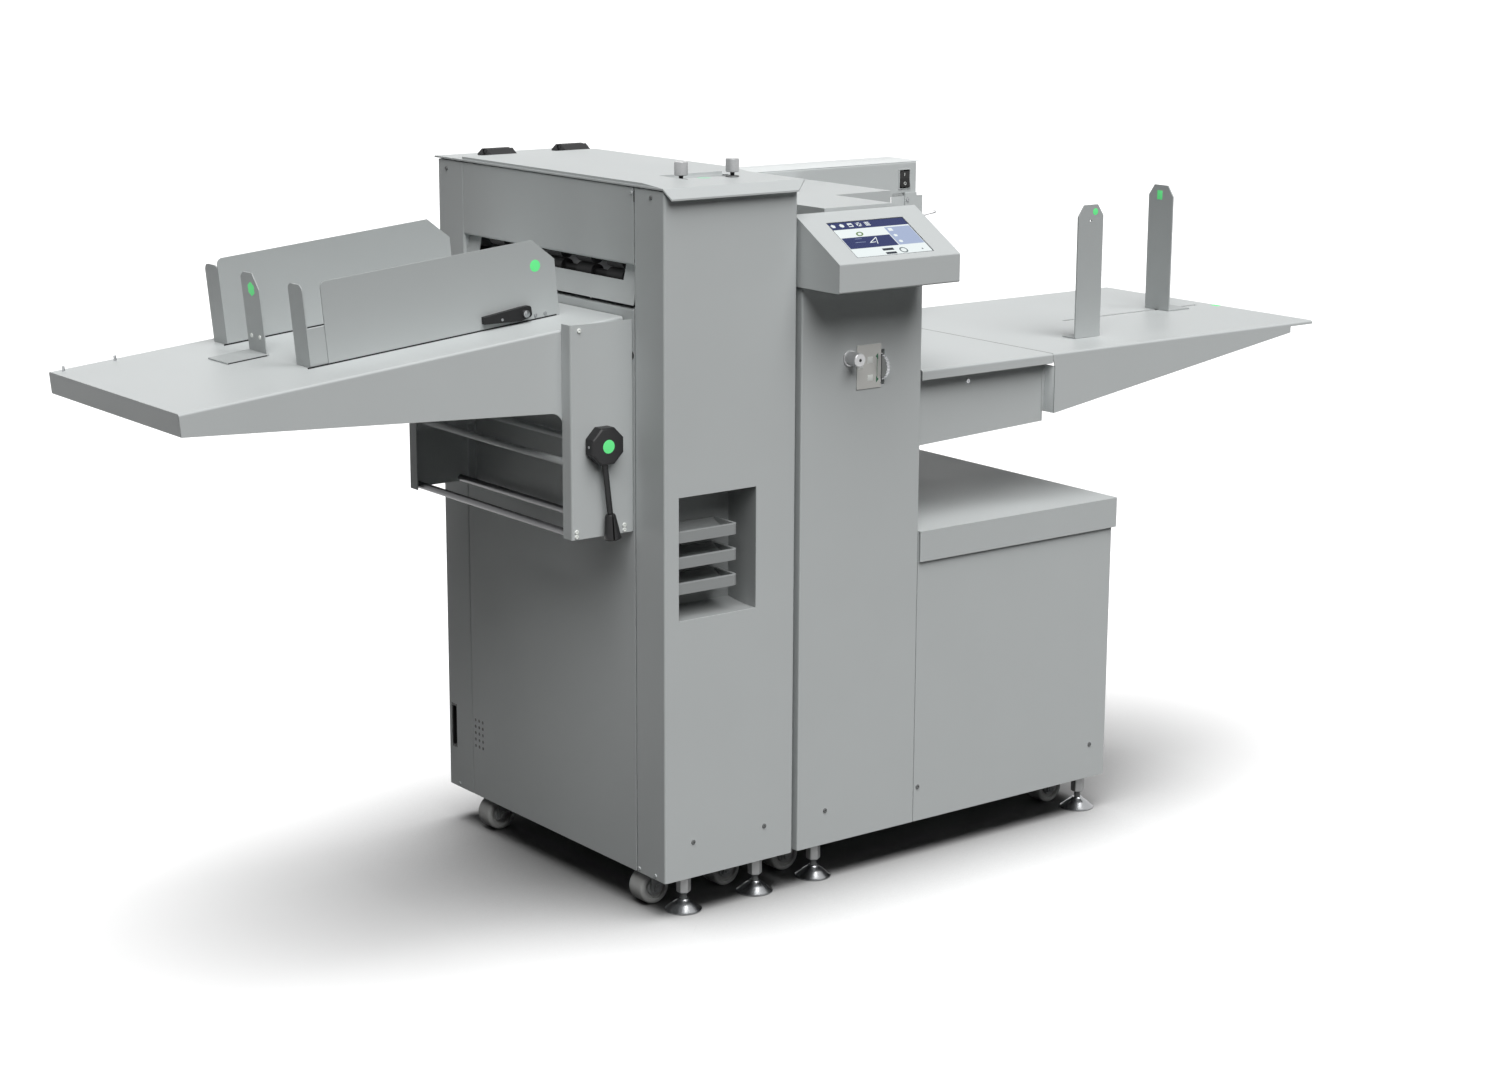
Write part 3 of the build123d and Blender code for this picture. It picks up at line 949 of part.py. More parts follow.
def delivery_guide(y, inner, outer, rise):
    """Side guide with its foot, its band and its end flag, standing on the level tray."""
    low, flag_top = GAP, GAP + GUIDE_HEIGHT
    top = flag_top + rise
    outline = [(-outer, low), (-inner, low), (-inner, top - 38), (-inner - 41, top), (-outer, top)]
    guide = prism(outline, FRONT, (y, y + SHEET))
    guide = fillet(guide.edges().filter_by(Axis.Y).group_by(Axis.Z)[-1].sort_by(Axis.X)[0], 10)
    guide += block((-outer + 20, -inner), (y, y + 26), (low, low + SHEET))
    guide -= bar_y(-LATCH_REACH, (y - 1, y + SHEET + 1), LATCH_Z, LATCH_PIN + RUNNING)
    band = (y + SHEET, y + 2 * SHEET)
    guide += block((-FLAG_REACH, -outer + FLAG_BAND), band, (low, low + FLAG_BAND))
    flag = block((-FLAG_REACH - SHEET, -FLAG_REACH), (band[0], band[0] + FLAG_WIDTH), (low, flag_top))
    return guide + fillet(flag.edges().filter_by(Axis.X).group_by(Axis.Z)[-1], 12)


def end_stop():
    """Centre stop: upright plate on a flat foot."""
    y = (STOP_Y - STOP_WIDTH / 2, STOP_Y + STOP_WIDTH / 2)
    low, top = GAP, GAP + STOP_HEIGHT
    outline = [(y[0], low), (y[1], low), (y[1], top - 8), (y[1] - 10, top), (y[0] + 18, top), (y[0], top - 26)]
    upright = prism(outline, SIDE, (-STOP_REACH - SHEET, -STOP_REACH))
    return upright + block((-STOP_REACH - STOP_BASE, -STOP_REACH), (y[0] - 6, y[1] + 4), (low, low + SHEET))


def guide_latch():
    """Toggle that clamps the near guide, on a bright pivot."""
    near = NEAR_GUIDE_Y - GAP
    x, z = -LATCH_REACH, LATCH_Z
    body = prism([(x - LATCH_LENGTH, z - 4), (x - LATCH_LENGTH, z + 8), (x - 4, z + 12), (x + 12, z + 12), (x + 13, z - 6),
                  (x - 10, z - 11)], FRONT, (near - 9, near))
    body = fillet(body.edges().filter_by(Axis.Y).sort_by(Axis.X)[-2:], 5)
    return body + bar_y(x, (near - 13, near - 9), z, 7) + bar_y(x, (near - 1, NEAR_GUIDE_Y + SHEET), z, LATCH_PIN)


# ---- feet and casters --------------------------------------------------------------

def levelling_foot(x, y):
    """Cone foot on a threaded stem, with a hexagonal sleeve."""
    profile = [(0, 0), (FOOT_RADIUS, 0), (FOOT_RADIUS, 4), (22, 18), (12, 24), (FOOT_STEM, 25), (FOOT_STEM, PAN_TOP + 20),
               (0, PAN_TOP + 20)]
    foot = revolve(FRONT * make_face(Polyline(*profile, close=True)), Axis.Z)
    sleeve = Pos(0, 0, 42) * extrude(RegularPolygon(FOOT_SLEEVE, 6), PAN_BASE - 42 - GAP)
    neck = Pos(0, 0, 35) * (Part() + Solid.make_cone(FOOT_STEM + 1, FOOT_SLEEVE - 2, 7))
    return Pos(x, y, 0) * (foot + sleeve + neck)


def caster_fork(x, y):
    """Swivelling fork on its kingpin: turned head, bridge and two trailing cheeks."""
    top = PAN_BASE - GAP
    wheel_x = x - CASTER_TRAIL
    inner = CASTER_WIDTH / 2 + 1.5
    fork = bar_z(x, y, (top - 5, top), 22) + bar_z(x, y, (top, PAN_TOP - GAP), KINGPIN)
    fork += block((wheel_x - 14, x + 14), (y - inner - CHEEK, y + inner + CHEEK), (top - 9, top - 5))
    outline = [(wheel_x - 9, CASTER_RADIUS - 8), (wheel_x + 9, CASTER_RADIUS - 8), (x + 14, top - 9), (wheel_x - 14, top - 9)]
    for side in (y - inner - CHEEK, y + inner):
        fork += prism(outline, FRONT, (side, side + CHEEK))
    return fork + bar_y(wheel_x, (y - inner - CHEEK - 2, y + inner + CHEEK + 2), CASTER_RADIUS, AXLE)


def caster_wheel(x, y):
    """Solid wheel with chamfered edges on its tread."""
    half, edge = CASTER_WIDTH / 2, CASTER_EDGE
    bore = AXLE + RUNNING
    profile = [(bore, -half), (CASTER_RADIUS - edge, -half), (CASTER_RADIUS, -half + edge),
               (CASTER_RADIUS, half - edge), (CASTER_RADIUS - edge, half), (bore, half)]
    wheel = revolve(FRONT * make_face(Polyline(*profile, close=True)), Axis.Z)
    return Pos(x - CASTER_TRAIL, y, CASTER_RADIUS) * Rot(90, 0, 0) * wheel


def build():
    """Every node of the machine, by name."""
    nodes = {
        "tower_frame": tower_frame(),
        "tower_front_panel": tower_front_panel(),
        "tower_rear_panel": tower_rear_panel(),
        "tower_side_panels": tower_side_panels(),
        "tool_niche": tool_niche(),
        "top_cover": top_cover(),
        "cover_hinge_leaves": hinge_leaf(HINGE_X[0], -1) + hinge_leaf(HINGE_X[1], -1),
        "fixed_hinge_leaves": hinge_leaf(HINGE_X[0], 1) + hinge_leaf(HINGE_X[1], 1),
        "cover_knob_left": cover_knob(KNOB_X[0]),
        "cover_knob_right": cover_knob(KNOB_X[1]),
        "exit_roller_lower": roller(ROLLER_Z[0]),
        "exit_roller_upper": roller(ROLLER_Z[1]),
        "crease_beam": crease_beam(),
        "crease_shaft": crease_shaft(),
        "drive_motor": drive_motor(),
        "feeder_column": feeder_column(),
        "feeder_chassis": feeder_chassis(),
        "low_cabinet": low_cabinet(),
        "cabinet_lid": cabinet_lid(),
        "console_housing": console_housing(),
        "touchscreen": touchscreen(),
        "head_cover": head_cover(),
        "air_beam": air_beam(),
        "rocker_switch": rocker_switch(),
        "feed_belts": feed_belts(),
        "vacuum_pump": vacuum_pump(),
        "skew_knob": skew_knob(),
        "gap_thumbwheel": gap_thumbwheel(),
        "feed_table": feed_table(),
        "table_extension": table_extension(),
        "feed_side_guide": feed_side_guide(),
        "backstop": backstop(),
        "lift_screw": lift_screw(),
        "delivery_brackets": delivery_brackets(),
        "clamp_lever": clamp_lever(),
        "delivery_tray": delivery_tray(),
        "near_guide": on_tray(delivery_guide(NEAR_GUIDE_Y, GUIDE_INNER, GUIDE_OUTER, 0)),
        "far_guide": on_tray(delivery_guide(FAR_GUIDE_Y, FAR_GUIDE_INNER, FLAG_REACH + SHEET, FAR_GUIDE_RISE)),
        "end_stop": on_tray(end_stop()),
        "guide_latch": on_tray(guide_latch()),
    }
    for index, (x, y) in enumerate(FEET, 1):
        nodes[f"levelling_foot_{index}"] = levelling_foot(x, y)
    for index, (x, y) in enumerate(TOWER_CASTERS + FEEDER_CASTERS, 1):
        nodes[f"caster_fork_{index}"] = caster_fork(x, y)
        nodes[f"caster_wheel_{index}"] = caster_wheel(x, y)
    return nodes


def footprint_centre(nodes):
    """X and Y of the middle of everything's bounding box."""
    boxes = [shape.bounding_box() for shape in nodes.values()]
    middle_x = (min(box.min.X for box in boxes) + max(box.max.X for box in boxes)) / 2
    middle_y = (min(box.min.Y for box in boxes) + max(box.max.Y for box in boxes)) / 2
    return middle_x, middle_y


NODES = build()
CENTRE = footprint_centre(NODES)
os.makedirs("parts", exist_ok=True)
for name, shape in NODES.items():
    export_step(Pos(-CENTRE[0], -CENTRE[1], 0) * shape, f"parts/{name}.step")
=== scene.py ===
"""Looks of a floor-standing paper creaser with a pile feeder and a delivery table.

Metres. +X runs along the paper path, +Y from the operator's side to the back, +Z up.
"""
import json
import logging
import math
from contextlib import contextmanager
from dataclasses import dataclass, field
from enum import Enum
from typing import Any, Iterable, Iterator, Sequence

import bpy
from mathutils import Matrix, Vector


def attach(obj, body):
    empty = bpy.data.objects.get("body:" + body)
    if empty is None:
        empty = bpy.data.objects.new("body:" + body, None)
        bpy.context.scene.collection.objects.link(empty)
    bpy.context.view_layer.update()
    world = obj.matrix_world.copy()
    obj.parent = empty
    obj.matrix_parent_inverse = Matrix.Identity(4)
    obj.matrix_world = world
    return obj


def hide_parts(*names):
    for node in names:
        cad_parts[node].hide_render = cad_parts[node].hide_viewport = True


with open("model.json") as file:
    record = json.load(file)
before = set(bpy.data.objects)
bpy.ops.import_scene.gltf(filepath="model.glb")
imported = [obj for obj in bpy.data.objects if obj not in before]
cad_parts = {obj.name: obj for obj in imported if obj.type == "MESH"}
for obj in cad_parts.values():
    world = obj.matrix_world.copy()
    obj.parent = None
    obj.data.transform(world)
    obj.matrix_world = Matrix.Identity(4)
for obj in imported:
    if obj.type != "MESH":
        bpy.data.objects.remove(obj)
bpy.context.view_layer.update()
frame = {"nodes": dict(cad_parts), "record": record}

LOG = logging.getLogger("creaser")
MM = 0.001
SHIFT = Vector((379.8806, 301.5, 0.0))

Point = tuple[float, float, float]
Pair = tuple[float, float]
Span = tuple[float, float, float, float]
Colour = tuple[float, float, float]
Piece = bpy.types.Object
Tree = bpy.types.NodeTree
Node = bpy.types.Node
Socket = bpy.types.NodeSocket

# Directions that fittings point in: up, to the operator, away from the operator, and out at the delivery side.
UP: Point = (0, 0, 1)
FRONT: Point = (0, -1, 0)
BACK: Point = (0, 1, 0)
OUT: Point = (-1, 0, 0)


def srgb(red: int, green: int, blue: int) -> Colour:
    """Linear colour of an sRGB triple.

    Args:
        red: Red from 0 to 255.
        green: Green from 0 to 255.
        blue: Blue from 0 to 255.

    Returns:
        The linear colour.
    """
    def channel(value: int) -> float:
        """One linear channel."""
        part = value / 255
        return part / 12.92 if part <= 0.04045 else ((part + 0.055) / 1.055) ** 2.4

    return channel(red), channel(green), channel(blue)


def place(x: float, y: float, z: float) -> Vector:
    """Scene position, in metres, of a drawing position.

    Args:
        x: Millimetres from the tower's delivery face.
        y: Millimetres from the cabinets' front face.
        z: Millimetres above the floor.

    Returns:
        The position in the frame's axes.
    """
    return (Vector((x, y, z)) - SHIFT) * MM


# ---- finishes ----

def wire(tree: Tree, node: Node, inputs: dict[str | int, Any]) -> Node:
    """Fill in a shader node's inputs.

    Args:
        tree: Its node tree.
        node: The node.
        inputs: Value or source socket of each input.

    Returns:
        The node.
    """
    for key, value in inputs.items():
        if isinstance(value, Socket):
            tree.links.new(value, node.inputs[key])
        else:
            node.inputs[key].default_value = value
    return node


def add(tree: Tree, kind: str, inputs: dict[str | int, Any]) -> Node:
    """Add a shader node with its inputs filled in."""
    return wire(tree, tree.nodes.new(kind), inputs)


# Shared by all finishes: features per metre and octaves of the slow noise, octaves of the fine noise, the share of
# the scale left along the brushing, and the strength of the relief.
CLOUD = (7.0, 3.0)
FINE_DETAIL = 4.0
BRUSH_STRETCH = 0.06
BUMP_STRENGTH = 0.6
# Noise values between which the colour drifts, and what a lit area keeps of its colour beside its glow.
DRIFT_SPAN = (0.3, 0.7)
LIT_BASE = 0.04
# Noise values between which the roughness varies, and how far it goes to either side.
WEAR_SPAN = (0.1, 0.45)
WEAR = 0.07


class Texture(Enum):
    """Surface structure of a finish."""

    POWDER = "powder coat"
    BRUSHED = "brushed metal"
    CAST = "cast metal"
    MOULDED = "moulded plastic"
    RUBBER = "rubber"
    POLISHED = "polished metal"
    PRINTED = "printed film"
    LIT = "lit display"


@dataclass(frozen=True)
class Finish:
    """One finish: its colour, gloss and surface structure.

    Attributes:
        label: Name of the material.
        slot: Record's material slot that it stands for.
        colour: Linear base colour.
        texture: Surface structure.
        roughness: Middle roughness.
        metallic: 0 for paint and plastic, 1 for bare metal.
        grain: Size of the structure's features, in metres.
        relief: Height of the structure, in metres.
        drift: How much the colour varies over the surface.
        glow: Strength of the light that it gives.
        shine: Specular level.
    """

    label: str
    slot: str
    colour: Colour
    texture: Texture
    roughness: float = 0.45
    metallic: float = 0.0
    grain: float = 0.0012
    relief: float = 0.00003
    drift: float = 0.03
    glow: float = 0.0
    shine: float = 0.5

    def material(self) -> bpy.types.Material:
        """Build the material, or return it where it exists.

        Returns:
            The node material of this finish.
        """
        made = bpy.data.materials.get(self.label)
        if made:
            return made
        made = bpy.data.materials.new(self.label)
        made.use_nodes = True
        tree = made.node_tree
        where = add(tree, "ShaderNodeTexCoord", {})
        stretch = (1.0, BRUSH_STRETCH if self.texture is Texture.BRUSHED else 1.0, 1.0)
        mapping = add(tree, "ShaderNodeMapping", {"Vector": where.outputs["Object"], "Scale": stretch})
        cloud = self._noise(tree, mapping, *CLOUD)
        fine = self._noise(tree, mapping, 1.0 / self.grain, FINE_DETAIL)
        relief = {"Strength": BUMP_STRENGTH, "Distance": self.relief, "Height": fine}
        inputs = {"Metallic": self.metallic, "Specular IOR Level": self.shine, "Base Color": self._colour(tree, cloud),
                  "Roughness": self._roughness(tree, fine, cloud),
                  "Normal": add(tree, "ShaderNodeBump", relief).outputs["Normal"]}
        if self.glow:
            inputs |= {"Emission Color": (*self.colour, 1.0), "Emission Strength": self.glow}
        wire(tree, tree.nodes["Principled BSDF"], inputs)
        return made

    @staticmethod
    def _noise(tree: Tree, mapping: Node, scale: float, detail: float) -> Socket:
        """Noise on object coordinates, with so many features per metre and octaves."""
        inputs = {"Scale": scale, "Detail": detail, "Vector": mapping.outputs["Vector"]}
        return add(tree, "ShaderNodeTexNoise", inputs).outputs["Fac"]

    def _colour(self, tree: Tree, cloud: Socket) -> Socket:
        """Base colour that drifts slowly over the surface; a lit display is dark in itself.

        Args:
            tree: Material's node tree.
            cloud: Large noise.

        Returns:
            The colour.
        """
        ramp = add(tree, "ShaderNodeValToRGB", {"Fac": cloud})
        depth = LIT_BASE if self.texture is Texture.LIT else 1.0
        for element, position, sign in zip(ramp.color_ramp.elements, DRIFT_SPAN, (-1, 1)):
            element.position = position
            element.color = (*[min(1.0, depth * part * (1 + sign * self.drift)) for part in self.colour], 1.0)
        return ramp.outputs["Color"]

    def _roughness(self, tree: Tree, fine: Socket, cloud: Socket) -> Socket:
        """Roughness that varies with the fine structure and with handling.

        Args:
            tree: Material's node tree.
            fine: Fine noise.
            cloud: Large noise.

        Returns:
            The roughness.
        """
        wear = add(tree, "ShaderNodeMath", {0: fine, 1: cloud})
        wear.operation = "MULTIPLY"
        spread = {"Value": wear.outputs["Value"], "From Min": WEAR_SPAN[0], "From Max": WEAR_SPAN[1],
                  "To Min": max(0.02, self.roughness - WEAR), "To Max": min(1.0, self.roughness + WEAR)}
        return add(tree, "ShaderNodeMapRange", spread).outputs["Result"]


def coat(label: str, colour: Colour, roughness: float, shine: float, drift: float = 0.012,
         slot: str = "light_grey_paint") -> Finish:
    """Finish of a powder coat."""
    return Finish(label, slot, colour, Texture.POWDER, roughness, drift=drift, shine=shine)


def moulded(label: str, slot: str, colour: Colour, roughness: float, drift: float, shine: float = 0.3,
            relief: float = 0.00003, grain: float = 0.0008) -> Finish:
    """Finish of moulded plastic."""
    return Finish(label, slot, colour, Texture.MOULDED, roughness, 0.0, grain, relief, drift, shine=shine)


def film(label: str, red: int, green: int, blue: int, glow: float = 0.0, drift: float = 0.02,
         shine: float = 0.2) -> Finish:
    """Finish of a sticker or print."""
    colour = srgb(red, green, blue)
    return Finish(label, "grey_plastic", colour, Texture.PRINTED, 0.5, drift=drift, glow=glow, shine=shine)


def lit(label: str, colour: Colour, drift: float) -> Finish:
    """Finish of a lit area of the display."""
    return Finish(f"lit {label}", "screen_glass", colour, Texture.LIT, 0.3, drift=drift, glow=0.9, shine=0.1)


PAINT = coat("light grey powder coat", srgb(200, 204, 204), 0.48, 0.22)
PAINT_TABLE = coat("table powder coat", srgb(202, 206, 206), 0.45, 0.25)
GUIDE = coat("guide powder coat", srgb(181, 185, 185), 0.48, 0.22)
# Lighter sheet laid on lit faces: painted highlight.
LIGHT_SHEET_PAINTED_HIGHLIGHT = coat("lighter sheet for painted highlight", srgb(234, 238, 238), 0.5, 0.2)
PAINTED = coat("painted screw", srgb(196, 200, 200), 0.45, 0.3, 0.02)
FORK = coat("grey fork paint", srgb(170, 172, 172), 0.5, 0.5, 0.04, "zinc_plate")
ENAMEL = coat("black enamel", (0.018, 0.018, 0.02), 0.4, 0.3, 0.08, "black_enamel")
STEEL = Finish("machined steel", "machined_steel", (0.42, 0.43, 0.44), Texture.BRUSHED, 0.34, 1.0, 0.0006, 0.00002,
               0.05)
# Dark tube over the cross rods: painted shade under the delivery tray.
ROD_PAINTED_SHADE = Finish("steel tube darkened for painted shade", "machined_steel", (0.16, 0.16, 0.165), Texture.BRUSHED, 0.36, 0.6, 0.0006, 0.00001,
             0.03, shine=0.2)
BRIGHT = Finish("bright adjuster plate", "machined_steel", srgb(190, 190, 186), Texture.BRUSHED, 0.4, 0.2, 0.0006,
                0.00001, 0.03)
TURNED = Finish("turned aluminium", "turned_aluminium", (0.5, 0.5, 0.51), Texture.BRUSHED, 0.3, 1.0, 0.0005, 0.00001,
                0.03)
KNOB = Finish("turned knob metal", "turned_aluminium", srgb(172, 173, 174), Texture.POLISHED, 0.28, 0.45, 0.0005,
              0.00001, 0.03)
CAST = Finish("cast aluminium", "cast_aluminium", (0.42, 0.43, 0.44), Texture.CAST, 0.5, 1.0, 0.0015, 0.00012, 0.05)
CHROME = Finish("bright chrome", "bright_chrome", (0.4, 0.41, 0.42), Texture.POLISHED, 0.24, 1.0, 0.002, 0.000004, 0.02)
SATIN = Finish("satin knob metal", "bright_chrome", srgb(204, 205, 206), Texture.POLISHED, 0.34, 0.4, 0.001, 0.000006,
               0.02)
ZINC = Finish("zinc plate", "zinc_plate", (0.4, 0.41, 0.42), Texture.BRUSHED, 0.36, 1.0, 0.0009, 0.00001, 0.06)
SLEEVE = Finish("satin sleeve", "zinc_plate", srgb(196, 197, 197), Texture.POLISHED, 0.4, 0.3, 0.001, 0.000008, 0.02)
FIXING = Finish("darkened screw", "zinc_plate", srgb(112, 114, 114), Texture.CAST, 0.5, 0.3, 0.0008, 0.00001, 0.05,
                shine=0.2)
RUBBER = Finish("black rubber", "roller_rubber", (0.025, 0.025, 0.026), Texture.RUBBER, 0.75, grain=0.0007,
                relief=0.00005, drift=0.1)
TREAD = Finish("grey caster rubber", "caster_rubber", srgb(184, 185, 183), Texture.RUBBER, 0.6, grain=0.0009,
               relief=0.00004, drift=0.06)
# The niche's moulding is darker than the paint: painted shade inside the niche.
NICHE_PAINTED_SHADE = moulded("niche moulding darkened for painted shade", "niche_plastic", srgb(158, 161, 161), 0.5, 0.01, 0.2)
GLOSS = moulded("gloss black plastic", "gloss_black", (0.012, 0.012, 0.012), 0.25, 0.05, grain=0.0012)
BLACK = moulded("black plastic", "black_plastic", (0.016, 0.016, 0.017), 0.42, 0.08, relief=0.00004)
PLASTIC = moulded("grey plastic", "grey_plastic", srgb(186, 189, 188), 0.5, 0.02)
HUB = moulded("grey caster hub", "grey_plastic", srgb(176, 178, 178), 0.5, 0.04, 0.5)
# Green marker film with a glow of its own: painted light that keeps the markers bright in shade.
GREEN_PAINTED_GLOW = film("green marker film with painted glow", 106, 230, 140, 0.3)
MINT = film("pale green marker film with painted glow", 176, 222, 196)
GREEN_DARK = film("dark green print", 70, 120, 92, drift=0.03)
# White print; on the stop and bracket screws it stands for a painted glint.
WHITE_PRINT_AND_GLINT = film("white print and painted glint", 243, 246, 242, shine=0.5)
GLASS = Finish("screen glass", "screen_glass", (0.02, 0.025, 0.04), Texture.PRINTED, 0.1, grain=0.01, relief=0.0,
               drift=0.02, shine=0.3)
LIT_PALE = lit("pale area", srgb(242, 250, 250), 0.004)
LIT_NAVY = lit("navy area", srgb(46, 56, 106), 0.02)
LIT_MIST = lit("mist area", srgb(170, 184, 214), 0.01)
LIT_GREEN = lit("green icon", srgb(112, 142, 90), 0.02)
LIT_DARK = lit("dark button", srgb(44, 50, 62), 0.02)
LIT_GREY = lit("grey ring", srgb(116, 126, 128), 0.02)

SLOT_FINISH: dict[str, Finish] = {finish.slot: finish for finish in (
    PAINT, STEEL, NICHE_PAINTED_SHADE, ENAMEL, TURNED, RUBBER, GLASS, GLOSS, CAST, CHROME, PLASTIC, BLACK, ZINC, TREAD)}
NODE_FINISH: dict[str, Finish] = {
    **dict.fromkeys(("near_guide", "far_guide", "end_stop", "backstop", "feed_side_guide"), GUIDE),
    **dict.fromkeys(("feed_table", "table_extension", "delivery_tray"), PAINT_TABLE),
    **{f"caster_fork_{index}": FORK for index in range(1, 9)},
    **dict.fromkeys(("cover_hinge_leaves", "fixed_hinge_leaves"), BLACK),
}


# ---- studio ----

@dataclass
class Studio:
    """Camera, lamps, floor and backdrop.

    Attributes:
        eye: Where the camera stands.
        forward: Direction that it looks in.
        above: Direction of the picture's upper edge.
        lens: Focal length, in millimetres.
        sensor: Width of the camera's sensor, in millimetres.
        far: How far the camera sees, in metres.
        sky: Brightness of the even light from all around.
        floor_size: Floor's width, in metres.
        floor_seen: Floor's colour to the camera.
        floor_cast: Floor's colour to the light that it throws back.
        floor_painted_shade: Painted shade on the floor: how far an occlusion node darkens it around the machine, in
            metres, and what is left of the floor's colour there.
        floor_painted_shade_samples: Rays that measure this painted shade at each point.
        lamps: Name, direction to the lamp, its width in degrees, watts per square metre, whether for the floor alone.
    """

    eye: Vector = field(default_factory=lambda: place(-2632, -3674, 1722))
    forward: Vector = field(default_factory=lambda: Vector((0.5919, 0.7739, -0.2251)))
    above: Vector = field(default_factory=lambda: Vector((0.1328, 0.1818, 0.9743)))
    lens: float = 67.2
    sensor: float = 36.0
    far: float = 100.0
    sky: float = 0.03
    floor_size: float = 120.0
    floor_seen: float = 1.0
    floor_cast: float = 0.03
    floor_painted_shade: Pair = (0.35, 0.1)
    floor_painted_shade_samples: int = 12
    lamps: tuple[tuple[str, Point, float, float, bool], ...] = (
        ("key", (-0.15, -0.53, 0.835), 56.0, 3.4, False),
        ("back", (0.25, 0.95, 0.0), 60.0, 0.25, False),
        ("ground", (-0.03, -0.06, 1.0), 56.0, 4.3, True))

    def camera(self) -> None:
        """Stand the camera at the viewing place."""
        data = bpy.data.cameras.new("Camera")
        data.lens = self.lens
        data.sensor_width = self.sensor
        data.clip_end = self.far
        camera = bpy.data.objects.new("Camera", data)
        bpy.context.scene.collection.objects.link(camera)
        back = -self.forward.normalized()
        right = self.above.cross(back).normalized()
        up = back.cross(right)
        camera.matrix_world = Matrix.Translation(self.eye) @ Matrix((right, up, back)).transposed().to_4x4()
        bpy.context.scene.camera = camera

    def light(self, floor: Piece) -> None:
        """Shine broad parallel light on the machine and on the floor around it.

        Args:
            floor: The studio's floor.
        """
        for name, toward, spread, power, on_floor in self.lamps:
            data = bpy.data.lights.new(name, "SUN")
            data.angle = math.radians(spread)
            data.energy = power
            lamp = bpy.data.objects.new(name, data)
            bpy.context.scene.collection.objects.link(lamp)
            lamp.rotation_euler = Vector(toward).to_track_quat("Z", "Y").to_euler()
            targets = bpy.data.collections.new(f"{name} light")
            targets.objects.link(floor)
            targets.collection_objects[0].light_linking.link_state = "INCLUDE" if on_floor else "EXCLUDE"
            lamp.light_linking.receiver_collection = targets

    def world(self) -> None:
        """Even light from all around that looks white to the camera and in metal."""
        world = bpy.data.worlds.new("World")
        bpy.context.scene.world = world
        world.use_nodes = True
        tree = world.node_tree
        back = wire(tree, tree.nodes["Background"], {"Color": (self.sky, self.sky, self.sky, 1.0)})
        white = add(tree, "ShaderNodeBackground", {"Color": (1.0, 1.0, 1.0, 1.0)})
        wire(tree, tree.nodes["World Output"], {"Surface": self.mixed(tree, back.outputs[0], white.outputs[0])})

    @staticmethod
    def mixed(tree: Tree, cast: Socket, seen: Socket) -> Socket:
        """Show one shader to the camera, through glass and off metal, and another to the rest.

        Args:
            tree: Node tree.
            cast: Shader that lights matt surfaces.
            seen: Shader that is seen.

        Returns:
            The mixed shader.
        """
        path = tree.nodes.new("ShaderNodeLightPath")
        share = path.outputs["Is Camera Ray"]
        for ray in ("Is Transmission Ray", "Is Glossy Ray"):
            top = add(tree, "ShaderNodeMath", {0: share, 1: path.outputs[ray]})
            top.operation = "MAXIMUM"
            share = top.outputs[0]
        return add(tree, "ShaderNodeMixShader", {0: share, 1: cast, 2: seen}).outputs[0]

    def floor(self) -> Piece:
        """Lay a plain pale floor that keeps the machine's shadow from its lamp, with painted shade that darkens it near
        the machine.

        Returns:
            The floor.
        """
        Bench.clear()
        bpy.ops.mesh.primitive_plane_add(size=self.floor_size, location=(0, 0, 0))
        floor = bpy.context.object
        floor.name = "studio_floor"
        material = bpy.data.materials.new("studio floor")
        material.use_nodes = True
        tree = material.node_tree
        tree.nodes.remove(tree.nodes["Principled BSDF"])
        # Painted shade: an occlusion node darkens the floor's seen colour near and under the machine.
        reach, left = self.floor_painted_shade
        near = add(tree, "ShaderNodeAmbientOcclusion", {"Distance": reach})
        near.samples = self.floor_painted_shade_samples
        dim = add(tree, "ShaderNodeMapRange", {"Value": near.outputs["AO"], "To Min": left * self.floor_seen,
                                               "To Max": self.floor_seen})
        shades = [add(tree, "ShaderNodeBsdfDiffuse", {"Color": colour}).outputs[0]
                  for colour in ((self.floor_cast, self.floor_cast, self.floor_cast, 1.0), dim.outputs["Result"])]
        wire(tree, tree.nodes["Material Output"], {"Surface": self.mixed(tree, *shades)})
        floor.data.materials.append(material)
        return floor

    def build(self) -> None:
        """Set up the whole studio."""
        bpy.context.scene.view_settings.view_transform = "Standard"
        self.camera()
        self.world()
        self.light(self.floor())


# ---- modelling bench ----

@contextmanager
def whole_mesh() -> Iterator[None]:
    """Edit all of the active piece's mesh.

    Yields:
        Nothing, while the mesh is open.
    """
    bpy.ops.object.mode_set(mode="EDIT")
    bpy.ops.mesh.select_all(action="SELECT")
    yield
    bpy.ops.object.mode_set(mode="OBJECT")


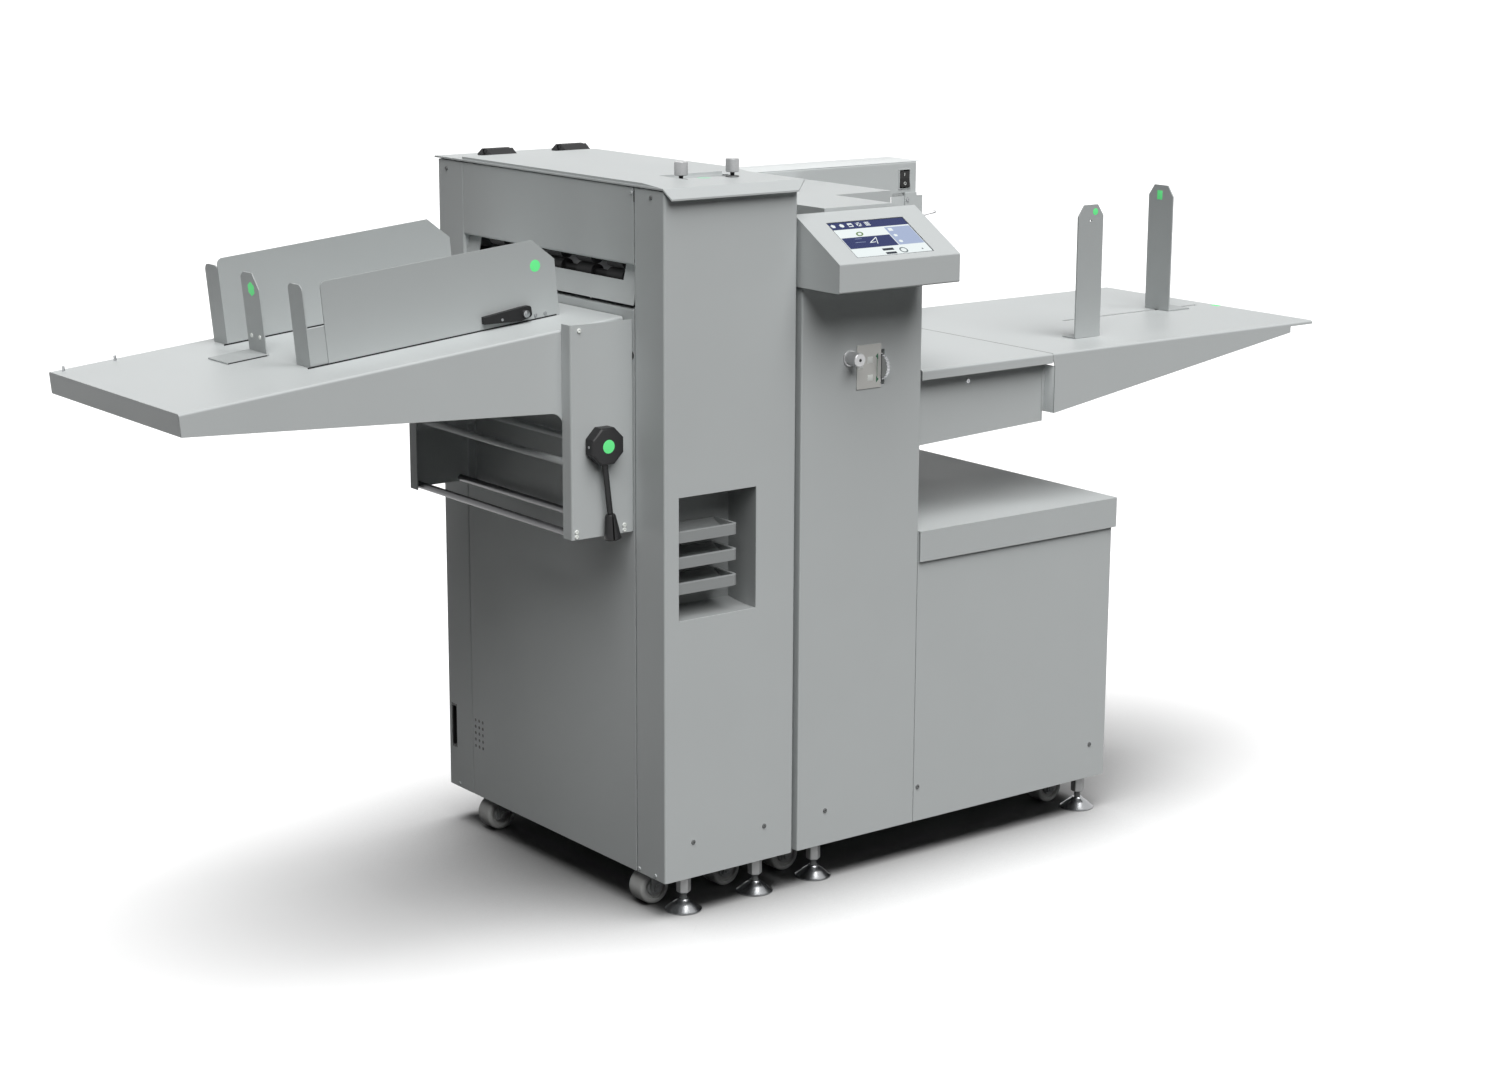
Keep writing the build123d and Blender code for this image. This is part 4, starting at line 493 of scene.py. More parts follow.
class Bench:
    """Mesh modelling with operators, one piece at a time.

    Attributes:
        merge: Points closer than this become one, in metres.
        smooth: Faces that meet at a smaller angle shade smoothly, in degrees.
        sharp: Edges sharper than this are softened, in degrees.
    """

    merge: float = 0.000005
    smooth: float = 32.0
    sharp: float = 40.0

    @staticmethod
    def clear() -> None:
        """Leave nothing selected."""
        bpy.ops.object.select_all(action="DESELECT")

    @classmethod
    def hold(cls, *pieces: Piece) -> None:
        """Select these pieces alone and make the first one active.

        Args:
            pieces: Pieces to select.
        """
        cls.clear()
        for piece in pieces:
            piece.select_set(True)
        bpy.context.view_layer.objects.active = pieces[0]

    @classmethod
    def settle(cls, piece: Piece) -> Piece:
        """Move the piece's place, turn and size into its mesh and shade it.

        Args:
            piece: Finished shape.

        Returns:
            The same piece.
        """
        cls.hold(piece)
        bpy.ops.object.transform_apply(location=True, rotation=True, scale=True)
        with whole_mesh():
            bpy.ops.mesh.remove_doubles(threshold=cls.merge)
            bpy.ops.mesh.normals_make_consistent(inside=False)
        bpy.ops.object.shade_smooth_by_angle(angle=math.radians(cls.smooth))
        return piece

    @classmethod
    def block(cls, name: str, low: Vector, high: Vector, edge: float = 0.0, segments: int = 2) -> Piece:
        """Block between two corners, with rounded edges.

        Args:
            name: Piece's name.
            low: Lowest corner, in metres.
            high: Highest corner.
            edge: Width of the edges' rounding.
            segments: Facets of the rounding.

        Returns:
            The piece.
        """
        cls.clear()
        bpy.ops.mesh.primitive_cube_add(size=1.0, location=(low + high) / 2, scale=high - low)
        piece = bpy.context.object
        piece.name = name
        bpy.ops.object.transform_apply(location=True, rotation=True, scale=True)
        if edge:
            with whole_mesh():
                bpy.ops.mesh.bevel(offset=edge, segments=segments, affect="EDGES")
        return cls.settle(piece)

    @classmethod
    def box(cls, name: str, low: Point, high: Point, edge: float = 0.0, segments: int = 2) -> Piece:
        """Block between two corners of the drawing."""
        return cls.block(name, place(*low), place(*high), edge, segments)

    @classmethod
    def turned(cls, name: str, rings: Sequence[Pair], sides: int = 32, turn: float = 0.0) -> Piece:
        """Solid of rings stacked along +Z from a filled circle.

        Args:
            name: Piece's name.
            rings: Radius and height of each ring, in millimetres.
            sides: Corners of a ring.
            turn: Turn of the rings about the axis, in degrees.

        Returns:
            The piece, on the world's Z axis.
        """
        cls.clear()
        radius, height = (part * MM for part in rings[0])
        bpy.ops.mesh.primitive_circle_add(vertices=sides, radius=radius, fill_type="NGON", location=(0, 0, height),
                                          rotation=(0, 0, math.radians(turn)))
        piece = bpy.context.object
        piece.name = name
        bpy.ops.object.transform_apply(location=True, rotation=True, scale=False)
        with whole_mesh():
            for next_radius, next_height in rings[1:]:
                next_radius, next_height = next_radius * MM, next_height * MM
                bpy.ops.mesh.extrude_region_move(TRANSFORM_OT_translate={"value": (0, 0, next_height - height)})
                grow = next_radius / radius
                bpy.ops.transform.resize(value=(grow, grow, 1.0), center_override=(0, 0, next_height))
                radius, height = next_radius, next_height
        return piece

    @classmethod
    def aim(cls, piece: Piece, spot: Vector, axis: Point) -> Piece:
        """Turn a piece's +Z to an axis, move its origin to a spot and settle it.

        Args:
            piece: Piece modelled on the world's Z axis.
            spot: New place of its origin, in metres.
            axis: Direction that its +Z takes.

        Returns:
            The settled piece.
        """
        piece.rotation_euler = Vector(axis).to_track_quat("Z", "Y").to_euler()
        piece.location = spot
        return cls.settle(piece)

    @classmethod
    def copied(cls, piece: Piece, name: str, move: Vector) -> Piece:
        """Copy a settled piece with a mesh of its own.

        Args:
            piece: Settled piece.
            name: Copy's name.
            move: From the piece to its copy, in metres.

        Returns:
            The settled copy.
        """
        cls.hold(piece)
        bpy.ops.object.duplicate(linked=False)
        copy = bpy.context.object
        copy.name = name
        copy.location = move
        bpy.ops.object.transform_apply(location=True, rotation=True, scale=True)
        return copy

    @classmethod
    def joined(cls, name: str, pieces: Sequence[Piece]) -> Piece:
        """Join settled pieces into one.

        Args:
            name: Joined piece's name.
            pieces: Settled pieces.

        Returns:
            The joined piece.
        """
        cls.hold(*pieces)
        if len(pieces) > 1:
            bpy.ops.object.join()
        piece = bpy.context.object
        piece.name = name
        return piece

    @classmethod
    def cut(cls, piece: Piece, spot: Vector, normal: Point) -> None:
        """Cut off the part of a piece on the normal's side of a plane.

        Args:
            piece: Settled piece.
            spot: A point of the plane.
            normal: Direction of what is cut off.
        """
        cls.hold(piece)
        with whole_mesh():
            bpy.ops.mesh.bisect(plane_co=spot, plane_no=normal, use_fill=True, clear_outer=True)

    @classmethod
    def modified(cls, piece: Piece, kind: str, **settings: Any) -> Piece:
        """Apply a modifier to a settled piece.

        Args:
            piece: Settled piece.
            kind: Type of the modifier.
            settings: Its settings.

        Returns:
            The settled piece.
        """
        cls.hold(piece)
        bpy.ops.object.modifier_add(type=kind)
        modifier = piece.modifiers[-1]
        for name, value in settings.items():
            setattr(modifier, name, value)
        bpy.ops.object.modifier_apply(modifier=modifier.name)
        return cls.settle(piece)

    @classmethod
    def soften(cls, piece: Piece, width: float, segments: int) -> Piece:
        """Round a piece's sharp edges over a width in metres."""
        return cls.modified(piece, "BEVEL", width=width, segments=segments, limit_method="ANGLE",
                            angle_limit=math.radians(cls.sharp))

    @classmethod
    def carved(cls, piece: Piece, tool: Piece) -> Piece:
        """Cut a closed tool out of a piece and remove the tool.

        Args:
            piece: Settled piece.
            tool: Settled closed piece.

        Returns:
            The settled piece.
        """
        cls.modified(piece, "BOOLEAN", object=tool, operation="DIFFERENCE", solver="EXACT")
        bpy.data.objects.remove(tool)
        return piece

    @staticmethod
    def fit(piece: Piece, finish: Finish, body: str, slot: str = "") -> Piece:
        """Give a piece its finish and its body.

        Args:
            piece: Settled piece.
            finish: Its finish.
            body: Body it rides on.
            slot: Record's slot of its finish, where that isn't the finish's own; not used.

        Returns:
            The piece.
        """
        slot = slot or finish.slot
        piece.data.materials.clear()
        piece.data.materials.append(finish.material())
        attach(piece, body)
        LOG.info("%s rides on %s in %s", piece.name, body, finish.label)
        return piece

    @classmethod
    def slab(cls, name: str, low: Point, high: Point, edge: float, finish: Finish, body: str) -> Piece:
        """Block between two corners of the drawing, fitted to its body."""
        return cls.fit(cls.box(name, low, high, edge), finish, body)

    @classmethod
    def lathed(cls, name: str, rings: Sequence[Pair], sides: int, spot: Vector, axis: Point, finish: Finish,
               body: str) -> Piece:
        """Turned solid, aimed and fitted to its body."""
        return cls.fit(cls.aim(cls.turned(name, rings, sides), spot, axis), finish, body)


# ---- small parts ----

@dataclass
class Screws:
    """Pan-head screws with a hexagon socket.

    Attributes:
        radius: Head's radius, in millimetres.
        height: Head's height.
    """

    radius: float
    height: float

    def row(self, name: str, spots: Iterable[Vector], axis: Point, body: str, finish: Finish = ZINC,
            slot: str = "") -> None:
        """Model screws of one direction on one body.

        Args:
            name: Piece's name.
            spots: Where they sit on their sheet, in metres.
            axis: Outward direction.
            body: Body they ride on.
            finish: Their finish.
            slot: Record's slot of their finish, where that isn't the finish's own.
        """
        radius, height = self.radius, self.height
        rings = [(radius, -0.2), (radius, 0.45 * height), (0.88 * radius, 0.85 * height), (0.62 * radius, height),
                 (0.42 * radius, height), (0.42 * radius, 0.45 * height), (0.1, 0.38 * height)]
        heads = [Bench.aim(Bench.turned(f"{name}_{index}", rings, 24), spot, axis) for index, spot in enumerate(spots)]
        Bench.fit(Bench.joined(name, heads), finish, body, slot)


@dataclass
class Marker:
    """Round or many-sided sticker that marks what the operator sets by hand.

    Attributes:
        radius: Its radius, in millimetres.
        sides: Corners of its outline.
        finish: Its film.
        thick: Its thickness, in millimetres.
    """

    radius: float
    sides: int = 40
    finish: Finish = GREEN_PAINTED_GLOW
    thick: float = 0.15

    def stick(self, name: str, spot: Vector, axis: Point, body: str) -> None:
        """Stick the marker on its body."""
        rings = [(self.radius, 0.0), (self.radius, 0.7 * self.thick), (0.97 * self.radius, self.thick)]
        Bench.lathed(name, rings, self.sides, spot, axis, self.finish, body)


# ---- creaser tower ----

@dataclass
class Tower:
    """Fittings of the creaser tower and its lid. Sizes in millimetres."""

    lid_top: float = 1250.0
    knob_x: Pair = (103.0, 209.5)
    knob_y: float = 95.0
    knob_radius: float = 11.5
    knob_stem: float = 8.5
    knob_height: float = 22.5
    thread_start: float = -15.0
    ridge_pitch: float = 1.6
    hinge_x: Pair = (94.0, 254.0)
    hinge_y: float = 648.0
    hinge_screw: float = 17.0
    front_screws: tuple[Pair, ...] = ((59, 131), (212, 129), (348, 130), (564, 132), (996, 133))
    skin_screws: tuple[Pair, ...] = ((91, 1236), (76, 74), (28, 74), (664, 74))
    dark_screws: tuple[Pair, ...] = ((36, 1233), (670, 1230))
    vents: Point = (605.0, 163.0, 12.5)
    vent_grid: tuple[int, int] = (3, 5)
    recess: Pair = (94.0, 226.0)
    recess_back: float = 145.5
    recess_reach: float = -5.0
    panel: Span = (0.5, 3.0, 286.5, 617.0)
    panel_rise: float = 4.5
    panel_ramp: float = 60.0
    marker: Pair = (160.0, 108.0)
    latch: Pair = (95.0, 967.0)
    inlet: Span = (671.0, 691.0, 142.0, 227.0)
    inlet_pins: tuple[Pair, ...] = ((-3.2, 11), (3.2, 17), (-3.2, 24))
    louvre_fields: tuple[Span, ...] = ((70.0, 205.0, 240.0, 700.0), (640.0, 900.0, 190.0, 578.0))
    louvre_count: int = 7
    louvre_pitch: float = 16.0

    def knob(self, side: str, x: float) -> None:
        """Lock knob: chamfered head on a threaded black stem over a washer.

        Args:
            side: Which knob, left or right.
            x: Its place along the tower.
        """
        spot, body = place(x, self.knob_y, self.lid_top), f"knob_{side}"
        low, high, radius = self.knob_stem, self.knob_stem + self.knob_height, self.knob_radius
        rings = [(radius - 1.2, low), (radius, low + 1.0), (radius, high - 0.8), (radius - 0.8, high), (3.4, high),
                 (3.0, high - 0.8), (0.2, high - 1.0)]
        head = Bench.lathed(f"lid_knob_{side}", rings, 64, spot, UP, KNOB, body)
        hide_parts(f"cover_knob_{side}")
        height = self.thread_start
        thread = [(3.0, height - 1.0), (3.8, height)]
        while height < low - 1.0:
            thread += [(3.8, height + 0.5), (3.4, height + 0.5 * self.ridge_pitch), (3.8, height + self.ridge_pitch)]
            height += self.ridge_pitch
        thread.append((3.8, low))
        Bench.lathed(f"lid_stem_{side}", thread, 32, spot, UP, BLACK, body)
        rings = [(6.4, 0.5), (radius - 0.2, 0.5), (radius, 1.0), (radius - 0.6, 2.2), (6.2, 2.5)]
        Bench.lathed(f"lid_washer_{side}", rings, 48, spot, UP, FIXING, body)

    def screws(self) -> None:
        """Screws of the columns, skins and hinges."""
        Screws(4.2, 2.0).row("front_screws", [place(x, 0, z) for x, z in self.front_screws], FRONT, "frame", FIXING)
        skin = (("skin_screws", self.skin_screws, PAINTED), ("dark_screws", self.dark_screws, FIXING))
        for name, spots, finish in skin:
            Screws(3.6, 2.0).row(name, [place(0, y, z) for y, z in spots], OUT, "frame", finish)
        Bench.slab("skin_slit", (-0.4, 84.0, 1222), (0.4, 85.6, 1240), 0.0002, BLACK, "frame")
        for name, body, reach in (("lid_hinge_screws", "lid", -self.hinge_screw),
                                  ("rear_hinge_screws", "frame", self.hinge_screw)):
            spots = [place(x + step, self.hinge_y + reach, self.lid_top + 5.2)
                     for x in self.hinge_x for step in (-self.hinge_screw, self.hinge_screw)]
            Screws(2.8, 1.2).row(name, spots, UP, body, BLACK)

    def lock(self) -> None:
        """Quarter-turn lock of the delivery-side skin."""
        y, z = self.latch
        rings = [(8.5, -0.1), (8.5, 1.2), (7.6, 2.2), (5.2, 2.4), (4.8, 1.4), (0.2, 1.3)]
        Bench.lathed("skin_lock", rings, 40, place(0, y, z), OUT, BLACK, "frame")
        Bench.slab("skin_lock_slot", (-2.2, y - 0.8, z - 4), (-1.0, y + 0.8, z + 4), 0.0003, ZINC, "frame")

    def mains_inlet(self) -> None:
        """Black socket in the pocket of the rear column."""
        y0, y1, z0, z1 = self.inlet
        liner = Bench.box("inlet_liner", (1.2, y0 + 0.4, z0 + 0.4), (23.8, y1 - 0.4, z1 - 0.4), 0.0008)
        core = Bench.box("inlet_core", (0.0, y0 + 3, z0 + 4), (18.0, y1 - 3, z1 - 4), 0.002)
        Bench.fit(Bench.carved(liner, core), BLACK, "frame")
        middle = (y0 + y1) / 2
        pins = [Bench.box(f"inlet_pin_{index}", (13.0, middle + reach - 1, z0 + lift),
                          (18.5, middle + reach + 1, z0 + lift + 5), 0.0004)
                for index, (reach, lift) in enumerate(self.inlet_pins)]
        Bench.fit(Bench.joined("inlet_pins", pins), ZINC, "frame")
        Bench.slab("inlet_fuse", (14.0, y0 + 4, z0 + 46), (18.5, y1 - 4, z0 + 74), 0.001, GLOSS, "frame")

    def vent_painted_shade(self) -> None:
        """Black plugs in and a black sheet behind the vent holes of the lower skin: painted shade inside the holes."""
        y, z, pitch = self.vents
        plugs = [Bench.box("vent_shade_sheet", (2.3, y - 2 * pitch - 6, z - 6), (6.0, y + 5, z + 4 * pitch + 6), 0.001)]
        rings = [(2.55, -2.6), (2.55, -0.2), (3.3, -0.2), (3.3, 0.1), (3.0, 0.3)]
        columns, rows = self.vent_grid
        for column in range(columns):
            for row in range(rows):
                plug = Bench.turned(f"vent_shade_plug_{column}_{row}", rings, 20)
                plugs.append(Bench.aim(plug, place(0.2, y - pitch * column, z + pitch * row), OUT))
        Bench.fit(Bench.joined("vent_painted_shade", plugs), BLACK, "frame")

    def lid_recess(self) -> None:
        """Upright rear edge of the finger recess, and the raised panel around the pocket."""
        left, right = self.recess
        top = self.lid_top
        Bench.slab("recess_edge", (left, 144.2, top - 6.95), (right, 151.3, top - 0.05), 0.0003, PAINT, "lid")
        x0, y0, x1, y1 = self.panel
        reach, back = self.recess_reach, self.recess_back
        panel = Bench.box("lid_panel", (x0, y0, top - 0.5), (x1, y1, top + self.panel_rise))
        panel = Bench.carved(panel, Bench.box("lid_pocket", (left, reach, top - 2), (right, back, top + 8)))
        for low, high, start in ((reach, left, y0), (right, 295.0, back + 0.5)):
            ramp = Bench.block("lid_ramp", Vector((low, -250.0, 0.0)) * MM, Vector((high, 200.0, 60.0)) * MM)
            ramp.rotation_euler = (math.atan2(self.panel_rise, self.panel_ramp), 0.0, 0.0)
            ramp.location = place(0.0, start, top)
            panel = Bench.carved(panel, Bench.settle(ramp))
        Bench.fit(panel, PAINT, "lid")

    def louvres(self) -> None:
        """Pressed air slots in the back of the tower and of the low cabinet."""
        slots = []
        for x0, x1, z0, y in self.louvre_fields:
            for index in range(self.louvre_count):
                low = z0 + self.louvre_pitch * index
                slot = Bench.box(f"louvre_{index}", (x0, y - 4.0, low), (x1, y + 3.0, low + 8), 0.0028, 4)
                Bench.cut(slot, place(x0, y - 0.3, z0), FRONT)
                slots.append(slot)
        Bench.fit(Bench.joined("rear_louvres", slots), PAINT, "frame")

    def build(self) -> None:
        """Build every fitting of the tower."""
        for side, x in zip(("left", "right"), self.knob_x):
            self.knob(side, x)
        self.screws()
        self.lock()
        self.mains_inlet()
        self.vent_painted_shade()
        self.lid_recess()
        self.louvres()
        Marker(12.0, finish=MINT).stick("lid_marker", place(*self.marker, self.lid_top), UP, "lid")


# ---- console and head ----

@dataclass
class Console:
    """Display of the touch screen. Sizes in millimetres on the screen's own plane, its slope in degrees."""

    corner: Point = (281.5, -105.0, 1117.0)
    slope: float = 30.547
    offset: Pair = (48.0, 14.0)
    width: float = 168.0
    height: float = 98.0
    depth: float = -0.8
    film: float = 0.05
    folds: tuple[Span, ...] = ((52.8, 43.1, 77.0, 32), (62.2, 40.9, 81.0, 67), (54.0, 36.9, 67.0, 4))
    tab_sides: tuple[int, ...] = (5, 6, 4, 4, 4)
    item_sides: tuple[int, ...] = (4, 5, 6)

    def spot(self, across: float, up: float, lift: float) -> Vector:
        """Scene position of a point on the screen.

        Args:
            across: From the screen's left edge.
            up: From its lower edge, along the slope.
            lift: Off the glass.

        Returns:
            The position in metres.
        """
        tilt = math.radians(self.slope)
        x = self.corner[0] + self.offset[0] + across
        along, off = self.offset[1] + up, self.depth + lift
        return place(x, self.corner[1] + along * math.cos(tilt) - off * math.sin(tilt),
                     self.corner[2] + along * math.sin(tilt) + off * math.cos(tilt))

    def panel(self, name: str, span: Span, finish: Finish, lift: float = 0.16,
              turn: float = 0.0, sides: int = 4) -> None:
        """Flat area of the display.

        Args:
            name: Piece's name, without its first word.
            span: Left, low, right and high edge.
            finish: Its finish.
            lift: Height of its face off the glass.
            turn: Turn in the screen's plane, in degrees.
            sides: 4 for an oblong, more for a disc.
        """
        left, low, right, high = span
        Bench.clear()
        if sides == 4:
            bpy.ops.mesh.primitive_plane_add(size=1.0)
        else:
            bpy.ops.mesh.primitive_circle_add(vertices=sides, radius=0.5, fill_type="NGON")
        piece = bpy.context.object
        piece.name = f"display_{name}"
        piece.scale = ((right - left) * MM, (high - low) * MM, 1.0)
        bpy.ops.object.transform_apply(location=False, rotation=False, scale=True)
        with whole_mesh():
            bpy.ops.mesh.extrude_region_move(TRANSFORM_OT_translate={"value": (0, 0, self.film * MM)})
        tilt = Matrix.Rotation(math.radians(self.slope), 4, "X") @ Matrix.Rotation(math.radians(turn), 4, "Z")
        piece.matrix_world = Matrix.Translation(self.spot((left + right) / 2, (low + high) / 2, lift)) @ tilt
        Bench.fit(Bench.settle(piece), finish, "frame")

    def build(self) -> None:
        """Light the display: bars, panels, buttons and plain line icons."""
        w, h = self.width, self.height
        self.panel("ground", (1.5, 1.5, w - 1.5, h - 1.5), LIT_PALE, 0.1)
        self.panel("header", (1.5, h - 20.5, w - 1.5, h - 1.5), LIT_NAVY)
        self.panel("mode", (3, 24.5, 108, 54.5), LIT_NAVY)
        self.panel("column", (110, 25, 165.5, 74), LIT_MIST)
        self.panel("mode_line", (24, 40, 46, 40.8), LIT_MIST, 0.22)
        self.panel("mode_line_2", (29, 49.6, 44, 50.3), LIT_MIST, 0.22)
        for index, (left, low, right, turn) in enumerate(self.folds):
            self.panel(f"fold_{index}", (left, low, right, low + 1.6), LIT_PALE, 0.22, turn)
        for index, sides in enumerate(self.tab_sides):
            middle = 8.5 + 18.6 * index
            self.panel(f"tab_{index}", (middle - 5, h - 15, middle + 5, h - 5), LIT_PALE, 0.22, 0, sides)
        self.panel("tab_bar", (42, h - 13, 49, h - 9), LIT_NAVY, 0.26)
        for index, turn in enumerate((45, -45)):
            self.panel(f"cross_{index}", (58, h - 11, 71, h - 9), LIT_NAVY, 0.28, turn)
        for index, sides in enumerate(self.item_sides):
            self.panel(f"grid_{index}", (79 + 3.4 * index, h - 14, 80.2 + 3.4 * index, h - 6), LIT_NAVY, 0.28)
            self.panel(f"item_{index}", (115, 63.5 - 16.5 * index, 124, 71 - 16.5 * index), LIT_PALE, 0.22, 0, sides)
        self.panel("leaf", (40, 57, 57, 68), LIT_GREEN, turn=20, sides=24)
        self.panel("leaf_core", (44, 59.5, 53, 65.5), LIT_PALE, 0.22, 20, 24)
        self.panel("button_1", (66, 13, 90, 19), LIT_DARK)
        self.panel("button_2", (67, 3, 90, 8.5), LIT_DARK)
        self.panel("ring", (100, 3, 117, 18), LIT_GREY, sides=32)
        self.panel("ring_core", (102.8, 5.6, 114.2, 15.4), LIT_PALE, 0.22, 0, 32)
        self.panel("arrow", (147, 7, 152, 12), LIT_DARK, sides=3)


@dataclass
class Head:
    """Fittings of the feed head, its beam and the sheet adjuster. Sizes in millimetres."""

    switch_x: float = 892.5
    beam_front: float = 450.0
    plate_end: float = 937.0
    plate_screws: tuple[Pair, ...] = ((899, 1138), (899, 1100))
    adjuster: Span = (407.0, 461.0, 880.0, 957.0)
    chips: tuple[Pair, ...] = ((436.0, 929.6), (436.8, 898.4), (414.6, 921.2))
    arrow_x: float = 452.0
    arrows: tuple[Pair, ...] = ((935.0, 90.0), (894.5, -90.0))
    skew: Point = (391.0, 937.0, 12.0)

    def switch_marks(self) -> None:
        """Line and ring that mark the rocker's two sides."""
        x, front = self.switch_x, self.beam_front
        Bench.slab("rocker_line", (x - 0.6, front - 1.3, 1183.5), (x + 0.6, front - 0.6, 1190.0), 0.0002, WHITE_PRINT_AND_GLINT,
                   "rocker")
        Bench.clear()
        bpy.ops.mesh.primitive_torus_add(major_radius=2.6 * MM, minor_radius=0.45 * MM, major_segments=32,
                                         minor_segments=8)
        ring = bpy.context.object
        ring.name = "rocker_ring"
        Bench.fit(Bench.aim(ring, place(x, front - 2.6, 1169.5), (0, -0.977, 0.214)), WHITE_PRINT_AND_GLINT, "rocker")

    def beam_fittings(self) -> None:
        """Small bright lever beside the end bracket, a lighter sheet on the beam's top as painted highlight, the end
        sheet and screws of the beam.
        """
        x, front = self.plate_end, self.beam_front
        rings = [(3.6, 0.0), (3.6, 3.0), (2.2, 4.5), (1.9, 24.0), (2.6, 29.0), (3.2, 33.0), (2.4, 36.0), (0.3, 37.0)]
        Bench.lathed("air_tap", rings, 24, place(x - 6, front - 4.5, 1104), (0.97, -0.12, 0.2), TURNED, "frame")
        rings = [(6.5, -0.2), (6.5, 4.0), (5.8, 4.8), (0.2, 5.0)]
        Bench.lathed("air_tap_boss", rings, 6, place(x - 9, front - 3, 1103), FRONT, ZINC, "frame")
        # Lighter sheet on the beam's top: painted highlight.
        Bench.slab("beam_top_painted_highlight", (291.5, 450.6, 1209.9), (935, 549.4, 1210.9), 0.0003, LIGHT_SHEET_PAINTED_HIGHLIGHT, "frame")
        Bench.slab("beam_end_sheet", (862, front, 1083), (894.5, front + 2.0, 1152), 0.0004, PAINT, "frame")
        Screws(4.0, 2.2).row("beam_screws", [place(x, front - 3, z) for x, z in self.plate_screws], FRONT, "frame")

    def adjuster_face(self) -> None:
        """Bright plate's edge, scale and arrows, and the knob with its collar."""
        x0, x1, z0, z1 = self.adjuster
        Bench.slab("adjuster_plate", (x0 - 0.1, -1.6, z0 - 0.1), (x1 + 0.1, -0.9, z1 + 0.1), 0.0003, BRIGHT, "frame")
        for index, (x, z) in enumerate(self.chips):
            Bench.slab(f"adjuster_chip_{index}", (x - 6.0, -1.9, z - 5.5), (x + 6.0, -1.5, z + 5.5), 0.0002, WHITE_PRINT_AND_GLINT,
                       "frame")
        for index, (z, turn) in enumerate(self.arrows):
            arrow = Bench.turned(f"adjuster_arrow_{index}", [(5.2, 0.0), (5.2, 0.2)], 3, turn)
            arrow.scale = (0.7, 1.25, 1.0)
            Bench.fit(Bench.aim(arrow, place(self.arrow_x, -1.6, z), FRONT), GREEN_DARK, "frame")
        Bench.slab("adjuster_line", (451.6, -1.85, 897), (452.4, -1.5, 933), 0.0, GREEN_DARK, "frame")
        x, z, radius = self.skew
        spot = place(x, 0, z)
        rings = [(radius + 2, 0.5), (radius + 2, 2.2), (radius + 1.6, 2.5), (radius - 0.6, 2.6), (radius, 3.4),
                 (radius, 28.6), (radius - 1.4, 30.0), (3.0, 30.0), (2.6, 26.0), (0.2, 25.6)]
        knob = Bench.lathed("register_knob", rings, 64, spot, FRONT, SATIN, "skew")
        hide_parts("skew_knob")
        Bench.lathed("register_dot", [(2.9, 25.4), (2.9, 29.2), (2.4, 29.6)], 24, spot, FRONT, BLACK, "skew")
        Bench.lathed("register_stem", [(4.0, -40.0), (4.0, 1.0), (3.0, 1.5)], 32, spot, FRONT, STEEL, "skew")

    def build(self) -> None:
        """Build every fitting of the head and the column."""
        self.switch_marks()
        self.beam_fittings()
        self.adjuster_face()


# ---- tables and guides ----

